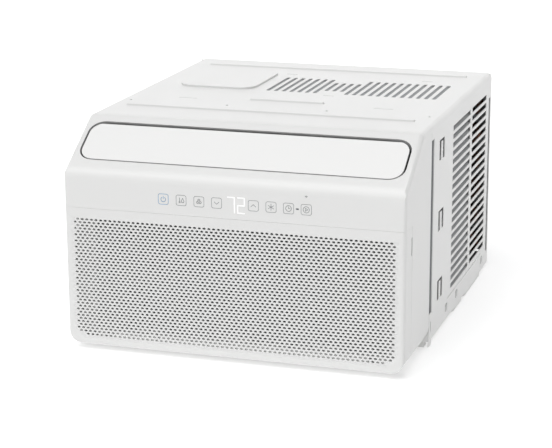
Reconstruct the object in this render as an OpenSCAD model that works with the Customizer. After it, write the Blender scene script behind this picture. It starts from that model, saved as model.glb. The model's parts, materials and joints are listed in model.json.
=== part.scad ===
// Window air conditioner: small chassis, top outlet under a motor-driven flap, tilt-down intake grille.
// +X is to the right seen from the room, -Y faces the room, +Z is up, and the feet stand at Z = 0.

/* [Cabinet] */
// Width across the cabinet sides
body_w = 480; // [460:5:520]
// Depth from the front face to the rear edge
body_d = 560; // [550:5:600]
// Height of the top sheet above the feet
body_h = 315; // [312:1:325]
// Height of the feet under the base
foot_h = 8; // [6:1:10]
// Thickness of the cabinet and base sheet
sheet = 1.2; // [0.8:0.1:1.6]
// Outer radius of the bent top edges
cabinet_r = 8; // [5:1:12]
// Clearance between fixed pieces that slip together
fit_gap = 0.3; // [0.2:0.1:0.6]
// Inward lip round the open rear
rear_lip = 16; // [14:1:20]
// Depth of the screw heads behind the rear lip
rear_recess = 2; // [2:0.5:4]
// Diameter of the holes for the upper window rail
rail_hole_d = 4.2; // [3:0.1:5]
// Distance of the outer rail holes from the cabinet sides
rail_hole_side = 18; // [14:1:24]
// Distance of the rail holes behind the front edge of the cabinet
rail_hole_back = 61; // [50:1:80]

/* [Cabinet sides] */
// Length of the front column of side louvres
louvre_front_len = 121; // [100:1:125]
// Plain strip behind the rear column of side louvres
louvre_margin = 37; // [30:1:50]
// Height of one side louvre
louvre_h = 6; // [4:0.5:8]
// Pitch of the side louvres
louvre_pitch = 12.35; // [11:0.05:12.5]
// Least height of plain sheet above the side louvres
louvre_high = 28; // [24:1:36]
// Height of the lowest side louvre above the base
louvre_low = 38; // [34:1:42]
// Depth that a louvre blade reaches inward
blade_reach = 7; // [4:0.5:8]
// Width of the bracket pockets
pocket_w = 32; // [28:1:36]
// Height of the bracket pockets
pocket_h = 29; // [25:1:34]
// Height of the lowest bracket pocket above the base
pocket_low = 45.5; // [36:0.5:50]
// Distance of the highest bracket pocket below the top sheet
pocket_high = 30; // [22:1:34]
// Width of the small hook slots low on the sides
hook_w = 14; // [10:1:16]
// Height of the small hook slots
hook_h = 12; // [10:1:14]
// Width of the curtain channel
channel_w = 15; // [12:0.5:16]
// Depth of the curtain channel
channel_d = 12; // [8:0.5:14]
// Height of the bottom of the curtain channel above the base
channel_low = 40; // [36:1:44]
// Distance of the top of the curtain channel below the top sheet
channel_high = 20; // [16:1:24]

/* [Cabinet top] */
// Reach of the top sheet over the plastic front
top_lap = 40; // [30:1:45]
// Width of a top vent slot
vent_w = 6; // [4:0.5:7]
// Length of a top vent slot
vent_len = 110; // [90:1:120]
// Pitch of the top vent slots
vent_pitch = 12; // [11:0.5:13]
// Distance of the vent slots from the right side
vent_side = 40; // [34:1:50]
// Distance of the vent slots' rear ends from the rear edge
vent_rear = 124; // [118:1:130]
// Height of the raised pad over the compressor
pad_h = 2; // [1:0.5:2]
// Width of the raised pad
pad_w = 120; // [110:1:130]
// Depth of the raised pad
pad_len = 149; // [140:1:155]
// Distance of the raised pad from the left side
pad_side = 45; // [40:1:55]
// Distance of the raised pad from the rear edge
pad_rear = 89; // [80:1:95]
// Corner radius of the raised pad
pad_r = 25; // [15:1:30]
// Height of the stiffening beads
bead_h = 1.2; // [0.8:0.1:1.6]
// Width of the stiffening beads
bead_w = 8; // [6:0.5:10]

/* [Front] */
// Depth of the plastic front
front_d = 144; // [140:1:150]
// Wall of the plastic front
front_wall = 2.5; // [2:0.1:3]
// Gap between the plastic front and the cabinet
seam_gap = 1.5; // [1:0.1:2]
// Flat strip ahead of the top sheet, before the face slopes down
lip_flat = 8; // [6:0.5:10]
// Slope of the outlet face
slant_a = 32; // [30:0.5:34]
// Radius from the outlet face to the front face
nose_r = 24; // [18:1:28]
// Radius from the front face to the underside
chin_r = 6; // [4:1:9]
// Radius of the lower corners seen from the front
jaw_r = 23; // [16:1:26]
// Radius of the front's upright edges seen from above
edge_r = 6; // [4:1:8]
// Radius of the edges beside the outlet face
slope_r = 8; // [5:1:12]
// Gap between the fascia and the intake grille under it
fascia_gap = 0.5; // [0.4:0.1:1.2]
// Gap round the intake grille and in its seams
grille_gap = 1; // [0.8:0.1:1.5]
// Distance from the top sheet down to the top edge of the intake grille
grille_drop = 111; // [108:1:114]
// Depth of the wings that the grille wraps round the sides
grille_wrap = 36; // [32:1:40]

/* [Intake grille] */
// Diameter of the grille holes
hole_d = 5.6; // [4:0.2:7]
// Pitch of the grille holes along a row
hole_pitch = 13.6; // [12:0.2:15]
// Margin of plain wall round the hole field
field_margin = 13; // [12:1:16]
// Corner radius of the hole field
field_r = 20; // [14:1:24]
// Width of a finger notch
notch_w = 5; // [4.5:0.5:7]
// Height of a finger notch
notch_h = 25; // [20:1:30]
// Distance of a finger notch below the top of the grille
notch_drop = 15; // [10:1:20]
// Diameter of the grille's hinge pins
grille_pin_d = 4; // [3:0.5:4.5]
// Radius of the hinge knuckles
knuckle_r = 4.5; // [4:0.1:5]
// Width of a hinge knuckle
knuckle_w = 6; // [4:0.5:8]
// Distance of the hinges from the sides
hinge_side = 50; // [45:1:60]
// Running clearance of turning pins, in radius
run_gap = 0.05; // [0.03:0.01:0.08]

/* [Filter] */
// Distance of the filter from the sides
filter_side = 33; // [32:1:40]
// Height of the filter above the base
filter_low = 16; // [14:1:24]
// Thickness of the filter frame
filter_t = 6; // [4:0.5:7]
// Width of the filter frame's bars
filter_bar = 8; // [6:0.5:10]
// Thickness of the filter mesh
mesh_t = 1; // [0.8:0.1:1.5]
// Lift that frees the filter from its lower lip
filter_lift = 8; // [6:0.5:8]

/* [Outlet] */
// Distance from the top of the outlet face to the opening
flap_top = 13; // [12:0.5:14]
// Length of the opening down the outlet face
flap_open_h = 76; // [72:0.5:78]
// Plain strip beside the opening
flap_side = 10; // [9:0.5:12]
// Corner radius of the opening
flap_r = 22; // [16:1:24]
// Gap above the flap
flap_gap_top = 4.5; // [4:0.25:5]
// Gap at the ends of the flap
flap_gap_end = 3; // [2:0.25:4]
// Gap below the flap
flap_gap_low = 2; // [1.5:0.25:3]
// Thickness of the flap
flap_t = 2.4; // [2:0.1:3]
// Distance of the flap's axis below the top of the opening
axis_drop = 15; // [14.5:0.25:17]
// Depth of the flap's axis under the outlet face
axis_deep = 9.5; // [9:0.25:10]
// Diameter of the flap's pins
flap_pin_d = 5; // [4:0.5:6]
// Depth of the rim round the opening
rim_d = 12; // [10:0.5:12]
// Wall of the outlet duct
duct_wall = 2.5; // [2:0.1:3]
// Room between each end of the duct and the end of the opening
duct_inset = 26; // [25:0.5:30]
// Number of vanes in each gang
gang_count = 5; // [5:1:5]
// Room between the outer vanes and the ends of the duct
vane_side = 24; // [23:0.5:30]
// Depth of a vane ahead of its pivots
vane_ahead = 10; // [8:0.5:10]
// Depth of a vane behind its pivots
vane_behind = 20.5; // [19.5:0.5:21]
// Thickness of a vane at its pivots
vane_t = 2.4; // [2:0.1:3]
// Depth of the vane pivots under the outlet face
vane_deep = 26; // [26:0.5:27]
// Diameter of the vane pivots
vane_pin_d = 4; // [3:0.5:5]
// Distance from a vane's pivot to the pin in the tie bar
vane_arm = 18; // [17:0.5:18]
// Diameter of a vane's pin in the tie bar
bar_pin_d = 3; // [2.5:0.5:3]
// Thickness of the tie bars
bar_t = 4; // [3:0.5:4]
// Depth of the tie bars
bar_d = 10.5; // [10:0.5:11]
// Side clearance of a pin in the tie bar, in radius
bar_gap = 0.35; // [0.3:0.05:0.45]

/* [Air system] */
// Room between the shroud's ring and the end of the shroud
fan_side = 8.7; // [8:0.1:12]
// Room under the shroud's ring
fan_under = 5.8; // [5:0.1:8]
// Room between the shroud's ring and the top sheet
fan_over = 28.8; // [28:0.2:40]
// Diameter of the fan shaft
shaft_d = 10; // [8:0.5:12]
// Overlap of the blower wheel behind its inlet, in radius
wheel_lap = 14; // [13:0.5:14.5]
// Width of the blower wheel
wheel_w = 50; // [40:1:52]
// Number of blades on the blower wheel
wheel_blades = 36; // [24:2:40]
// Width of the flange round the blower inlet
inlet_rim = 11; // [9:0.5:14]
// Room between the inlet's flange and the outlet duct
inlet_room = 2.5; // [2:0.5:6]
// Wall of the blower housing
housing_wall = 2.5; // [2:0.1:3]
// Depth of the blower housing
housing_d = 64; // [62:1:68]
// Thickness of the bulkhead
bulkhead_t = 2.5; // [2:0.1:3]
// Number of condenser fan blades
fan_blades = 5; // [3:1:7]
// Depth of the condenser fan
fan_depth = 34; // [28:1:36]
// Pitch angle of the condenser fan blades
fan_pitch = 18; // [14:1:20]
// Radius of the curve across a fan blade
blade_curve = 110; // [90:5:150]
// Angle that a fan blade's tip reaches ahead of its root
blade_sweep = 24; // [20:1:26]
// Thickness of a fan blade
blade_t = 2; // [1.5:0.1:2.5]
// Diameter of the condenser fan's hub
hub_d = 60; // [46:1:70]
// Wall of the fan shroud
shroud_wall = 2; // [1.6:0.1:3]
// Running clearance round the condenser fan
fan_gap = 5; // [3:0.5:6]
// Depth of the fan shroud ahead of the condenser
shroud_d = 38; // [34:1:42]

/* [Coils] */
// Distance of the evaporator fins from the sides
evaporator_side = 43.5; // [43:0.5:52]
// Depth of the evaporator
evaporator_d = 32; // [28:1:36]
// Room between the evaporator and the outlet duct
evaporator_room = 25.5; // [24:0.5:34]
// Distance of the condenser fins from the sides
condenser_side = 26; // [25.5:0.5:34]
// Depth of the condenser
condenser_d = 36; // [32:1:40]
// Distance of the condenser below the top sheet
condenser_high = 19; // [17:1:28]
// Spacing of the coil fins
fin_pitch = 6; // [5:0.5:8]
// Thickness of the coil fins
fin_t = 1.2; // [0.8:0.1:1.6]
// Outer diameter of the coil tubes
tube_d = 8; // [7:0.5:9]
// Vertical pitch of the coil tubes
tube_pitch = 22; // [21:0.5:22]

/* [Compressor and motor] */
// Distance of the compressor's axis from the left side
compressor_side = 105; // [103:1:108]
// Room between the compressor and the condenser fan
compressor_room = 3; // [2:0.5:10]
// Diameter of the compressor
compressor_d = 114; // [100:1:118]
// Height of the compressor's body
compressor_h = 200; // [180:1:210]
// Radius of the compressor's mounting circle
mount_r = 76; // [72:1:78]
// Height of the rubber grommets
grommet_h = 14; // [10:1:18]
// Diameter of the rubber grommets
grommet_d = 26; // [22:1:28]
// Diameter of the grommet studs
stud_d = 6; // [5:0.5:8]
// Diameter of the accumulator
accumulator_d = 54; // [46:1:56]
// Room between the accumulator and the suction pipe over it
accumulator_room = 22.3; // [20:0.1:26]
// Distance of the accumulator beside the compressor
accumulator_side = 49; // [47:0.5:52]
// Distance of the accumulator ahead of the compressor
accumulator_front = 76; // [72:0.5:78]
// Height of the accumulator above the base pan
accumulator_up = 40; // [30:1:46]
// Distance of the discharge stub beside the compressor's middle
stub_side = 32; // [28:1:36]
// Diameter of the run capacitor
capacitor_d = 40; // [34:1:42]
// Height of the run capacitor
capacitor_h = 76; // [60:1:80]
// Distance of the run capacitor behind the bulkhead
capacitor_back = 38; // [26:1:42]
// Diameter of the fan motor
motor_d = 104; // [90:1:110]
// Length of the fan motor
motor_len = 74; // [60:1:80]
// Distance of the fan motor behind the bulkhead
motor_back = 87; // [80:1:92]

/* [Controls] */
// Height of the control row above the intake grille
keys_up = 20; // [18:0.5:21]
// Spacing of the touch keys
key_pitch = 25; // [24:0.5:26]
// Diameter of the touch springs
spring_d = 9; // [7:0.5:10]
// Room between the fascia and the control board
board_gap = 9; // [8:0.5:10]
// Thickness of the control board
board_t = 1.6; // [1.2:0.1:2]
// Width of the control board
board_w = 250; // [240:2:260]
// Height of the control board
board_h = 30; // [28:1:31]
// Diameter of the power inlet's bushing
gland_d = 15; // [12:0.5:18]
// Bore of the power inlet's bushing
gland_bore = 8; // [6:0.5:9]

/* [Hidden] */
$fn = 64;
arc_steps = 6;
past = 1;
sink = 0.01;

half_w = body_w / 2;
front_y = -body_d / 2;
rear_y = body_d / 2;
seam_y = front_y + front_d;
panel_back_y = seam_y - seam_gap;
lap_y = seam_y - top_lap;
under_top_z = body_h - sheet;
pan_z = foot_h + sheet;
inner_x = half_w - sheet;
rear_lip_y = rear_y - rear_recess - sheet;

slant_y = lap_y - lip_flat;
nose_z = body_h - (slant_y - front_y) * tan(slant_a);
grille_top_z = body_h - grille_drop;
grille_back_y = front_y + grille_wrap;
plate_y = grille_back_y + grille_gap;
plate_t = front_wall;
pan_front_y = plate_y + plate_t + fit_gap;
pan_front_x = half_w - jaw_r;
pan_rim = 18;

hinge_x = half_w - hinge_side;
hinge_y = grille_back_y - 6;
hinge_z = foot_h + 8;
toe_z = hinge_z + 3;
hinge_sweep = 8;
ear_w = 3;

open_low = flap_top + flap_open_h;
open_x = half_w - flap_side;
duct_x = open_x - duct_inset;
duct_mouth = rim_d + fit_gap;
flap_x = open_x - flap_gap_end;
axis_s = flap_top + axis_drop;
arm_x = duct_x - 5.5;
arm_t = 3.5;
vane_top = flap_top + 1;
vane_low = open_low - 2;
vane_mid = (vane_top + vane_low) / 2;
vane_swing = 25;
vane_pitch = 2 * (duct_x - vane_side) / (2 * gang_count - 1);
bar_deep = vane_deep + vane_arm;

bulkhead_y = seam_y + 34;
housing_y = bulkhead_y - housing_d;
housing_front_y = housing_y - housing_wall;
wheel_y = bulkhead_y - 6 - wheel_w;
motor_y = bulkhead_y + motor_back;
condenser_x = half_w - condenser_side;
condenser_y = rear_lip_y - sheet - 3.6 - condenser_d;
shroud_y = condenser_y - shroud_d;
fan_y = shroud_y - 12 - fan_depth;
collar_y = fan_y + fan_depth / 2 + 9;
collar_r = (under_top_z - fan_over - pan_z - fan_under) / 2;
ring_r = collar_r - shroud_wall;
fan_d = 2 * (ring_r - fan_gap);
rotor_x = condenser_x - fit_gap - fan_side - collar_r;
rotor_z = pan_z + fan_under + collar_r;
evaporator_y = front_y + 58;
evaporator_x = half_w - evaporator_side;

keys_left = -20;
keys_right = 33;
x_keys = [for (i = [0:3]) keys_left - i * key_pitch, for (i = [0:2]) keys_right + i * key_pitch];
display_x = 9.5;
display_w = 32;
display_h = 24;
panel_screw_z = [foot_h + 27, grille_top_z - 19];
rear_screw_z = [foot_h + 52, body_h - 45];
screw_x = half_w - 18;
rear_screw_x = inner_x - rear_lip / 2;
screw_r = 2;
screw_head_r = 4;
screw_head_h = 1.8;

// Unit vector along v
function unit(v) = v / norm(v);

// Points of the arc that rounds corner b between a and c
function fillet(a, b, c, r) =
  r == 0 ? [b] :
  let (u = unit(a - b), v = unit(c - b), turn = 180 - acos(u * v),
     mid = b + unit(u + v) * r / cos(turn / 2),
     p = b + u * r * tan(turn / 2) - mid, q = b + v * r * tan(turn / 2) - mid)
  [for (i = [0:arc_steps]) let (w = i / arc_steps)
    mid + (sin((1 - w) * turn) * p + sin(w * turn) * q) / sin(turn)];

// Outline through corners [x, y, radius]
function rounded(p) = let (n = len(p)) [for (i = [0:n - 1])
  let (a = p[(i + n - 1) % n], b = p[i], c = p[(i + 1) % n])
  each fillet([a.x, a.y], [b.x, b.y], [c.x, c.y], b.z)];

// Rectangle from a to b with one corner radius
function round_box(a, b, r) = rounded([[a.x, a.y, r], [b.x, a.y, r], [b.x, b.y, r], [a.x, b.y, r]]);

// Point [y, z] that lies s down the outlet face and deep under it
function slant_at(s, deep) = [
  slant_y - s * cos(slant_a) + deep * sin(slant_a),
  body_h - s * sin(slant_a) - deep * cos(slant_a)
];

// Outline in [y, z] drawn across the width
module across(w) {
  rotate([90, 0, 90]) linear_extrude(w, center = true) children();
}

// Outline in [x, z] drawn from y back to y + d
module along(y, d) {
  translate([0, y + d, 0]) rotate([90, 0, 0]) linear_extrude(d) children();
}

// Frame of the outlet face: +Y runs up the slope and +Z points out of it
module on_slant() {
  translate([0, slant_y, body_h]) rotate([slant_a, 0, 0]) children();
}

// Both sides of the middle
module both_sides() {
  children();
  mirror([1, 0, 0]) children();
}

// Slot with round ends, centred, long along Y
module slot(w, len) {
  square([w, len - w], center = true);
  for (s = [-1, 1]) translate([0, s * (len - w) / 2]) circle(d = w);
}

// Rod from a to b
module rod(a, b, r) {
  d = b - a;
  translate(a) rotate([0, acos(d.z / norm(d)), atan2(d.y, d.x)]) cylinder(r = r, h = norm(d));
}

// Bend of a tube at corner b, between a and c
module bend_at(a, b, c, bend, r) {
  u = unit(a - b);
  v = unit(c - b);
  w = unit(cross(u, v));
  turn = 180 - acos(u * v);
  m = b + unit(u + v) * bend / cos(turn / 2);
  e = unit(b + u * bend * tan(turn / 2) - m);
  f = cross(w, e) * -1;
  multmatrix([[e.x, f.x, -w.x, m.x], [e.y, f.y, -w.y, m.y], [e.z, f.z, -w.z, m.z], [0, 0, 0, 1]])
    rotate_extrude(angle = turn) translate([bend, 0]) circle(r = r, $fn = 24);
}

// Point where a bend of radius bend starts on the leg from corner b towards a
function leg_end(a, b, c, bend) =
  b + unit(a - b) * bend * tan((180 - acos(unit(a - b) * unit(c - b))) / 2);

// Tube along points p with one bend radius
module bent_tube(p, bend, r) {
  n = len(p) - 1;
  for (i = [0:n - 1]) {
    a = i == 0 ? p[0] : leg_end(p[i + 1], p[i], p[i - 1], bend);
    b = i == n - 1 ? p[n] : leg_end(p[i], p[i + 1], p[i + 2], bend);
    rod(a, b, r, $fn = 24);
  }
  for (i = [1:n - 1]) bend_at(p[i - 1], p[i], p[i + 1], bend, r);
}

// ---- Cabinet ----

// Row of side louvres in [y, z]
module louvre_column(y, len) {
  for (i = [0:louvre_count - 1])
    translate([y, foot_h + louvre_low + i * louvre_pitch]) square([len, louvre_h]);
}

louvre_space = 13;
louvre_front_y = seam_y + 138;
louvre_rear_y = louvre_front_y + louvre_front_len + louvre_space;
louvre_rear_len = rear_y - louvre_margin - louvre_rear_y;
louvre_room = body_h - louvre_high - foot_h - louvre_low - louvre_h;
louvre_count = floor(louvre_room / louvre_pitch) + 1;
pocket_count = 3;
pocket_y = seam_y + 49;
pocket_z = foot_h + pocket_low;
pocket_pitch = (body_h - pocket_high - pocket_h - pocket_z) / (pocket_count - 1);
hook_y = [seam_y + 104, seam_y + 174, rear_y - 56];
hook_z = foot_h + 11;
crease_z = foot_h + 28;
channel_z = foot_h + channel_low;
channel_top_z = body_h - channel_high;
channel_y = seam_y;
tab_h = 12;

// Slot round three edges of a spring tab that is held at its foot, in [y, z]
module tab_slot(w, h) {
  difference() {
    square([w, h]);
    translate([w / 3, -past]) square([w / 3, h - w / 10 + past]);
  }
}

// One side sheet in [y, z]
module side_sheet() {
  difference() {
    union() {
      translate([seam_y, foot_h]) square([rear_y - seam_y, body_h - cabinet_r - foot_h]);
      translate([seam_y, 0]) polygon(round_box([0, 0], [channel_w, foot_h + tab_h], 4));
    }
    louvre_column(louvre_front_y, louvre_front_len);
    louvre_column(louvre_rear_y, louvre_rear_len);
    translate([seam_y - past, channel_z]) square([channel_w + past, channel_top_z - channel_z]);
    for (i = [0:pocket_count - 1])
      translate([pocket_y, pocket_z + i * pocket_pitch]) tab_slot(pocket_w, pocket_h);
    for (y = hook_y) translate([y, hook_z]) tab_slot(hook_w, hook_h);
    translate([seam_y + channel_w / 2 + 2, foot_h + 20]) slot(4, 16);
    translate([rear_y - 14, foot_h + 22]) square([3, body_h - foot_h - 59]);
  }
}

// Blades behind the front louvres, in [x, z], for the right side
module louvre_blades() {
  for (i = [0:louvre_count - 1]) {
    z = foot_h + louvre_low + i * louvre_pitch + louvre_h;
    polygon([[inner_x, z], [inner_x, z + sheet], [inner_x - blade_reach, z - louvre_h + sheet],
         [inner_x - blade_reach, z - louvre_h]]);
  }
}

pad_x = -half_w + pad_side;
pad_y = rear_y - pad_rear - pad_len;
vent_room = half_w - vent_side - (pad_x + pad_w + 21);
vent_count = floor(vent_room / vent_pitch) + 1;
vent_x = half_w - vent_side - (vent_count - 1) * vent_pitch;
vent_y = rear_y - vent_rear - vent_len;

// Vent slots of the top in [x, y]; those over the motor are short
module top_vents() {
  for (i = [0:vent_count - 1]) {
    x = vent_x + i * vent_pitch;
    front_cut = abs(x - 44) < 18 ? 21 : 0;
    rear_cut = abs(x - 50) < 24 ? 24 : 0;
    long = vent_len - front_cut - rear_cut;
    translate([x, vent_y + front_cut + long / 2]) slot(vent_w, long);
  }
}

// Small lanced slits of the top: [x, y, length]
top_slits = [[-147, seam_y + 97, 28], [147, seam_y + 97, 28], [-56, rear_y - 96, 17],
       [46, vent_y - 14, 16], [160, rear_y - 99, 17]];
rail_hole_pitch = (body_w - 2 * rail_hole_side) / 3;

module top_sheet() {
  difference() {
    translate([-half_w + cabinet_r, lap_y]) square([body_w - 2 * cabinet_r, rear_y - lap_y]);
    top_vents();
    for (s = top_slits)
      translate([s.x, s.y]) square([s.z, 1.5], center = true);
    for (i = [-1.5:1:1.5])
      translate([i * rail_hole_pitch, seam_y + rail_hole_back]) circle(d = rail_hole_d);
  }
}

// Pressed bead of the top, from x0 to x1
module bead(x0, x1, y) {
  translate([x0, y, body_h]) rotate([90, 0, 90]) linear_extrude(x1 - x0)
    polygon([[-bead_w / 2, -0.01], [-bead_w / 4, bead_h], [bead_w / 4, bead_h], [bead_w / 2, -0.01]]);
}

module cabinet() {
  color("gainsboro") {
    difference() {
      union() {
        translate([0, 0, under_top_z]) linear_extrude(sheet) top_sheet();
        translate([pad_x, pad_y, body_h]) linear_extrude(pad_h)
          polygon(round_box([0, 0], [pad_w, pad_len], pad_r));
        bead(-half_w + 27, half_w - 31, seam_y + 26);
        bead(-half_w + 33, half_w - 30, rear_y - 49);
        bead(-54, 56, seam_y + 109);
      }
      translate([pad_x, pad_y, under_top_z - past]) linear_extrude(pad_h + past)
        polygon(round_box([sheet, sheet], [pad_w - sheet, pad_len - sheet], pad_r - sheet));
    }
    both_sides() {
      difference() {
        translate([inner_x, 0, 0]) rotate([90, 0, 90]) linear_extrude(sheet) side_sheet();
        translate([half_w - sheet / 2, hook_y[0] + hook_w, crease_z])
          cube([sheet, hook_y[2] - hook_y[0] - hook_w, 2]);
      }
      along(lap_y, rear_y - lap_y) intersection() {
        translate([half_w - cabinet_r, body_h - cabinet_r]) difference() {
          circle(r = cabinet_r);
          circle(r = cabinet_r - sheet);
        }
        translate([half_w - cabinet_r, body_h - cabinet_r]) square(cabinet_r);
      }
      along(louvre_front_y, louvre_front_len) louvre_blades();
    }
    along(rear_lip_y, sheet) difference() {
      translate([-inner_x, pan_z + 20]) square([2 * inner_x, under_top_z - pan_z - 20]);
      translate([-inner_x + rear_lip, pan_z])
        square([2 * (inner_x - rear_lip), under_top_z - pan_z - rear_lip + 4]);
      for (x = [-rear_screw_x, rear_screw_x], z = rear_screw_z) translate([x, z]) circle(r = screw_r);
    }
  }
}

// Channels that the side curtains slide into
module side_channels() {
  color("darkgray") both_sides()
    translate([0, 0, channel_z]) linear_extrude(channel_top_z - channel_z)
      difference() {
        translate([half_w - channel_d - sheet, channel_y])
          square([channel_d + sheet, channel_w]);
        translate([half_w - channel_d, channel_y + sheet])
          square([channel_d + past, channel_w - 2 * sheet]);
        translate([inner_x, channel_y + channel_w - sheet]) square([2 * sheet, 2 * sheet]);
      }
}

// Outline of the base pan in [x, y]; inset moves its edges in
module pan_outline(inset) {
  x1 = pan_front_x - inset;
  x2 = inner_x - fit_gap - inset;
  y1 = pan_front_y + inset;
  y2 = rear_lip_y - fit_gap - inset;
  polygon([[-x1, y1], [x1, y1], [x1, seam_y + inset], [x2, seam_y + inset], [x2, y2], [-x2, y2],
       [-x2, seam_y + inset], [-x1, seam_y + inset]]);
}

rail_w = 26;
rail_x = inner_x - fit_gap - 0.5 - rail_w / 2;
rail_y = [seam_y + 164, seam_y + 244];
rail_len = [75, rear_y - 42 - rail_y[1]];
drain_x = half_w - 90;
drain_y = rear_y - 20;
drain_d = 16;

// Skids and the sill rib under the pan, in [x, y]
module pan_ribs(inset) {
  both_sides() for (i = [0, 1])
    translate([rail_x, rail_y[i] + rail_len[i] / 2]) slot(rail_w - 2 * inset, rail_len[i] - 2 * inset);
  translate([-inner_x + 6 + inset, channel_y + inset])
    square([2 * (inner_x - 6 - inset), channel_w - 2 * inset]);
}

module base_pan() {
  color("silver") {
    difference() {
      union() {
        translate([0, 0, foot_h]) linear_extrude(sheet) pan_outline(0);
        linear_extrude(foot_h + sheet) pan_ribs(0);
      }
      translate([0, 0, sheet]) linear_extrude(foot_h + sheet) pan_ribs(sheet);
      translate([drain_x, drain_y, foot_h - past]) cylinder(d = drain_d, h = sheet + 2 * past);
    }
    translate([0, 0, foot_h]) linear_extrude(pan_rim) difference() {
      pan_outline(0);
      pan_outline(sheet);
    }
    compressor_feet() translate([0, 0, pan_z]) cylinder(d = stud_d, h = grommet_h + 11);
  }
}

// Rubber plug of the drain hole
module drain_plug() {
  color("dimgray") translate([drain_x, drain_y, 0]) {
    translate([0, 0, foot_h - 2]) cylinder(d = drain_d + 6, h = 2);
    translate([0, 0, foot_h - 2]) cylinder(d = drain_d, h = sheet + 5);
    translate([0, 0, pan_z]) cylinder(d1 = drain_d + 3, d2 = drain_d - 2, h = 3);
  }
}

// ---- Plastic front ----

// Side outline of the front in [y, z], inset from the outside and open behind y = back
module front_side(inset, back) {
  outline = rounded([
    [rear_y, foot_h, 0], [front_y, foot_h, chin_r], [front_y, nose_z, nose_r],
    [slant_y, body_h, 10], [rear_y, body_h, 0]
  ]);
  intersection() {
    offset(delta = -inset) polygon(outline);
    translate([front_y - past, -past]) square([back - front_y + past, body_h + 2 * past]);
  }
}

// Front outline of the front in [x, z]
module front_face(inset) {
  x = half_w - inset;
  low = jaw_r - inset;
  high = cabinet_r - inset;
  polygon(rounded([[-x, foot_h + inset, low], [x, foot_h + inset, low],
           [x, body_h - inset, high], [-x, body_h - inset, high]]));
}

// Plan outline of the front in [x, y]
module front_plan(inset, back) {
  x = half_w - inset;
  polygon(rounded([[-x, front_y + inset, edge_r - inset], [x, front_y + inset, edge_r - inset],
           [x, back, 0], [-x, back, 0]]));
}

// Outline square to the slope in [x, depth], with its upper corners rounded
module front_slope(inset) {
  x = half_w - inset;
  polygon(rounded([[-x, -body_d, 0], [x, -body_d, 0], [x, -inset, slope_r - inset],
           [-x, -inset, slope_r - inset]]));
}

module front_solid(inset, back) {
  intersection() {
    across(body_w + past) front_side(inset, back);
    along(front_y - past, back - front_y + past) front_face(inset);
    linear_extrude(body_h + past) front_plan(inset, back);
    on_slant() along(-body_h, 2 * body_h) front_slope(inset);
  }
}

module front_shell() {
  difference() {
    front_solid(0, panel_back_y);
    front_solid(front_wall, panel_back_y + past);
    along(lap_y - fit_gap, top_lap + past) difference() {
      translate([-half_w - past, body_h - cabinet_r]) square([body_w + 2 * past, cabinet_r + past]);
      front_face(sheet);
    }
  }
}

// Part of the shell that belongs to the grille, in [y, z]
module grille_zone() {
  polygon([[front_y - past, 0], [hinge_y - hinge_sweep, 0], [hinge_y - hinge_sweep, toe_z],
       [grille_back_y, toe_z], [grille_back_y, grille_top_z], [front_y - past, grille_top_z]]);
}

// Rounded opening of the outlet in [x, s], grown by g
module flap_opening(g) {
  polygon(round_box([-open_x - g, -open_low - g], [open_x + g, -flap_top + g], flap_r + g));
}

shelf_z = grille_top_z + fascia_gap;
filter_w = body_w - 2 * filter_side;
filter_z = foot_h + filter_low;
filter_h = grille_top_z - filter_lift - filter_z;
window_x = filter_w / 2 - filter_bar;
window_low = filter_z + filter_bar;
window_high = filter_z + filter_h - filter_bar;
guide_t = 2;
guide_tab_w = 40;
guide_tab_x = [-130, 0, 130];
guide_hold = 5;

// Plate behind the grille, with the intake window, in [x, z]
module intake_plate() {
  difference() {
    translate([-half_w + front_wall, foot_h + front_wall])
      square([body_w - 2 * front_wall, shelf_z - foot_h]);
    translate([-window_x, window_low]) square([2 * window_x, window_high - window_low]);
    for (x = [-screw_x, screw_x], z = panel_screw_z) translate([x, z]) circle(r = screw_r);
  }
}

// Guides that hold the filter, in [x, z], one side
module filter_guides() {
  y0 = grille_back_y - filter_t - guide_t;
  y1 = plate_y + plate_t / 2;
  upper_z = filter_z + filter_h - guide_hold;
  // side walls
  both_sides() translate([filter_w / 2 + fit_gap, y0, filter_z]) cube([guide_t, y1 - y0, filter_h]);
  // lower lip
  translate([-filter_w / 2, y0, filter_z - fit_gap - guide_t])
    cube([filter_w, y1 - y0, guide_t]);
  // lower tabs, low enough for the filter to lift over, and upper tabs
  for (x = guide_tab_x) {
    translate([x - guide_tab_w / 2, y0, filter_z - fit_gap - guide_t])
      cube([guide_tab_w, guide_t - fit_gap, guide_t + guide_hold]);
    translate([x - guide_tab_w / 2, y0, upper_z])
      cube([guide_tab_w, guide_t - fit_gap, shelf_z + front_wall - upper_z]);
  }
}

// Outline of a hinge knuckle in [y, z]
module knuckle_outline() {
  translate([hinge_y, hinge_z]) circle(r = knuckle_r);
}

module hinge_ears() {
  both_sides() for (s = [-1, 1])
    translate([hinge_x + s * (knuckle_w / 2 + fit_gap + ear_w / 2), 0, 0]) difference() {
      across(ear_w) {
        knuckle_outline();
        translate([hinge_y, hinge_z - knuckle_r])
          square([plate_y + plate_t / 2 - hinge_y, 2 * knuckle_r]);
      }
      translate([0, hinge_y, hinge_z]) rotate([0, 90, 0])
        cylinder(d = grille_pin_d, h = ear_w + 2, center = true);
    }
}

gland_y = front_y + 88;
gland_z = foot_h + 40;

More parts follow.
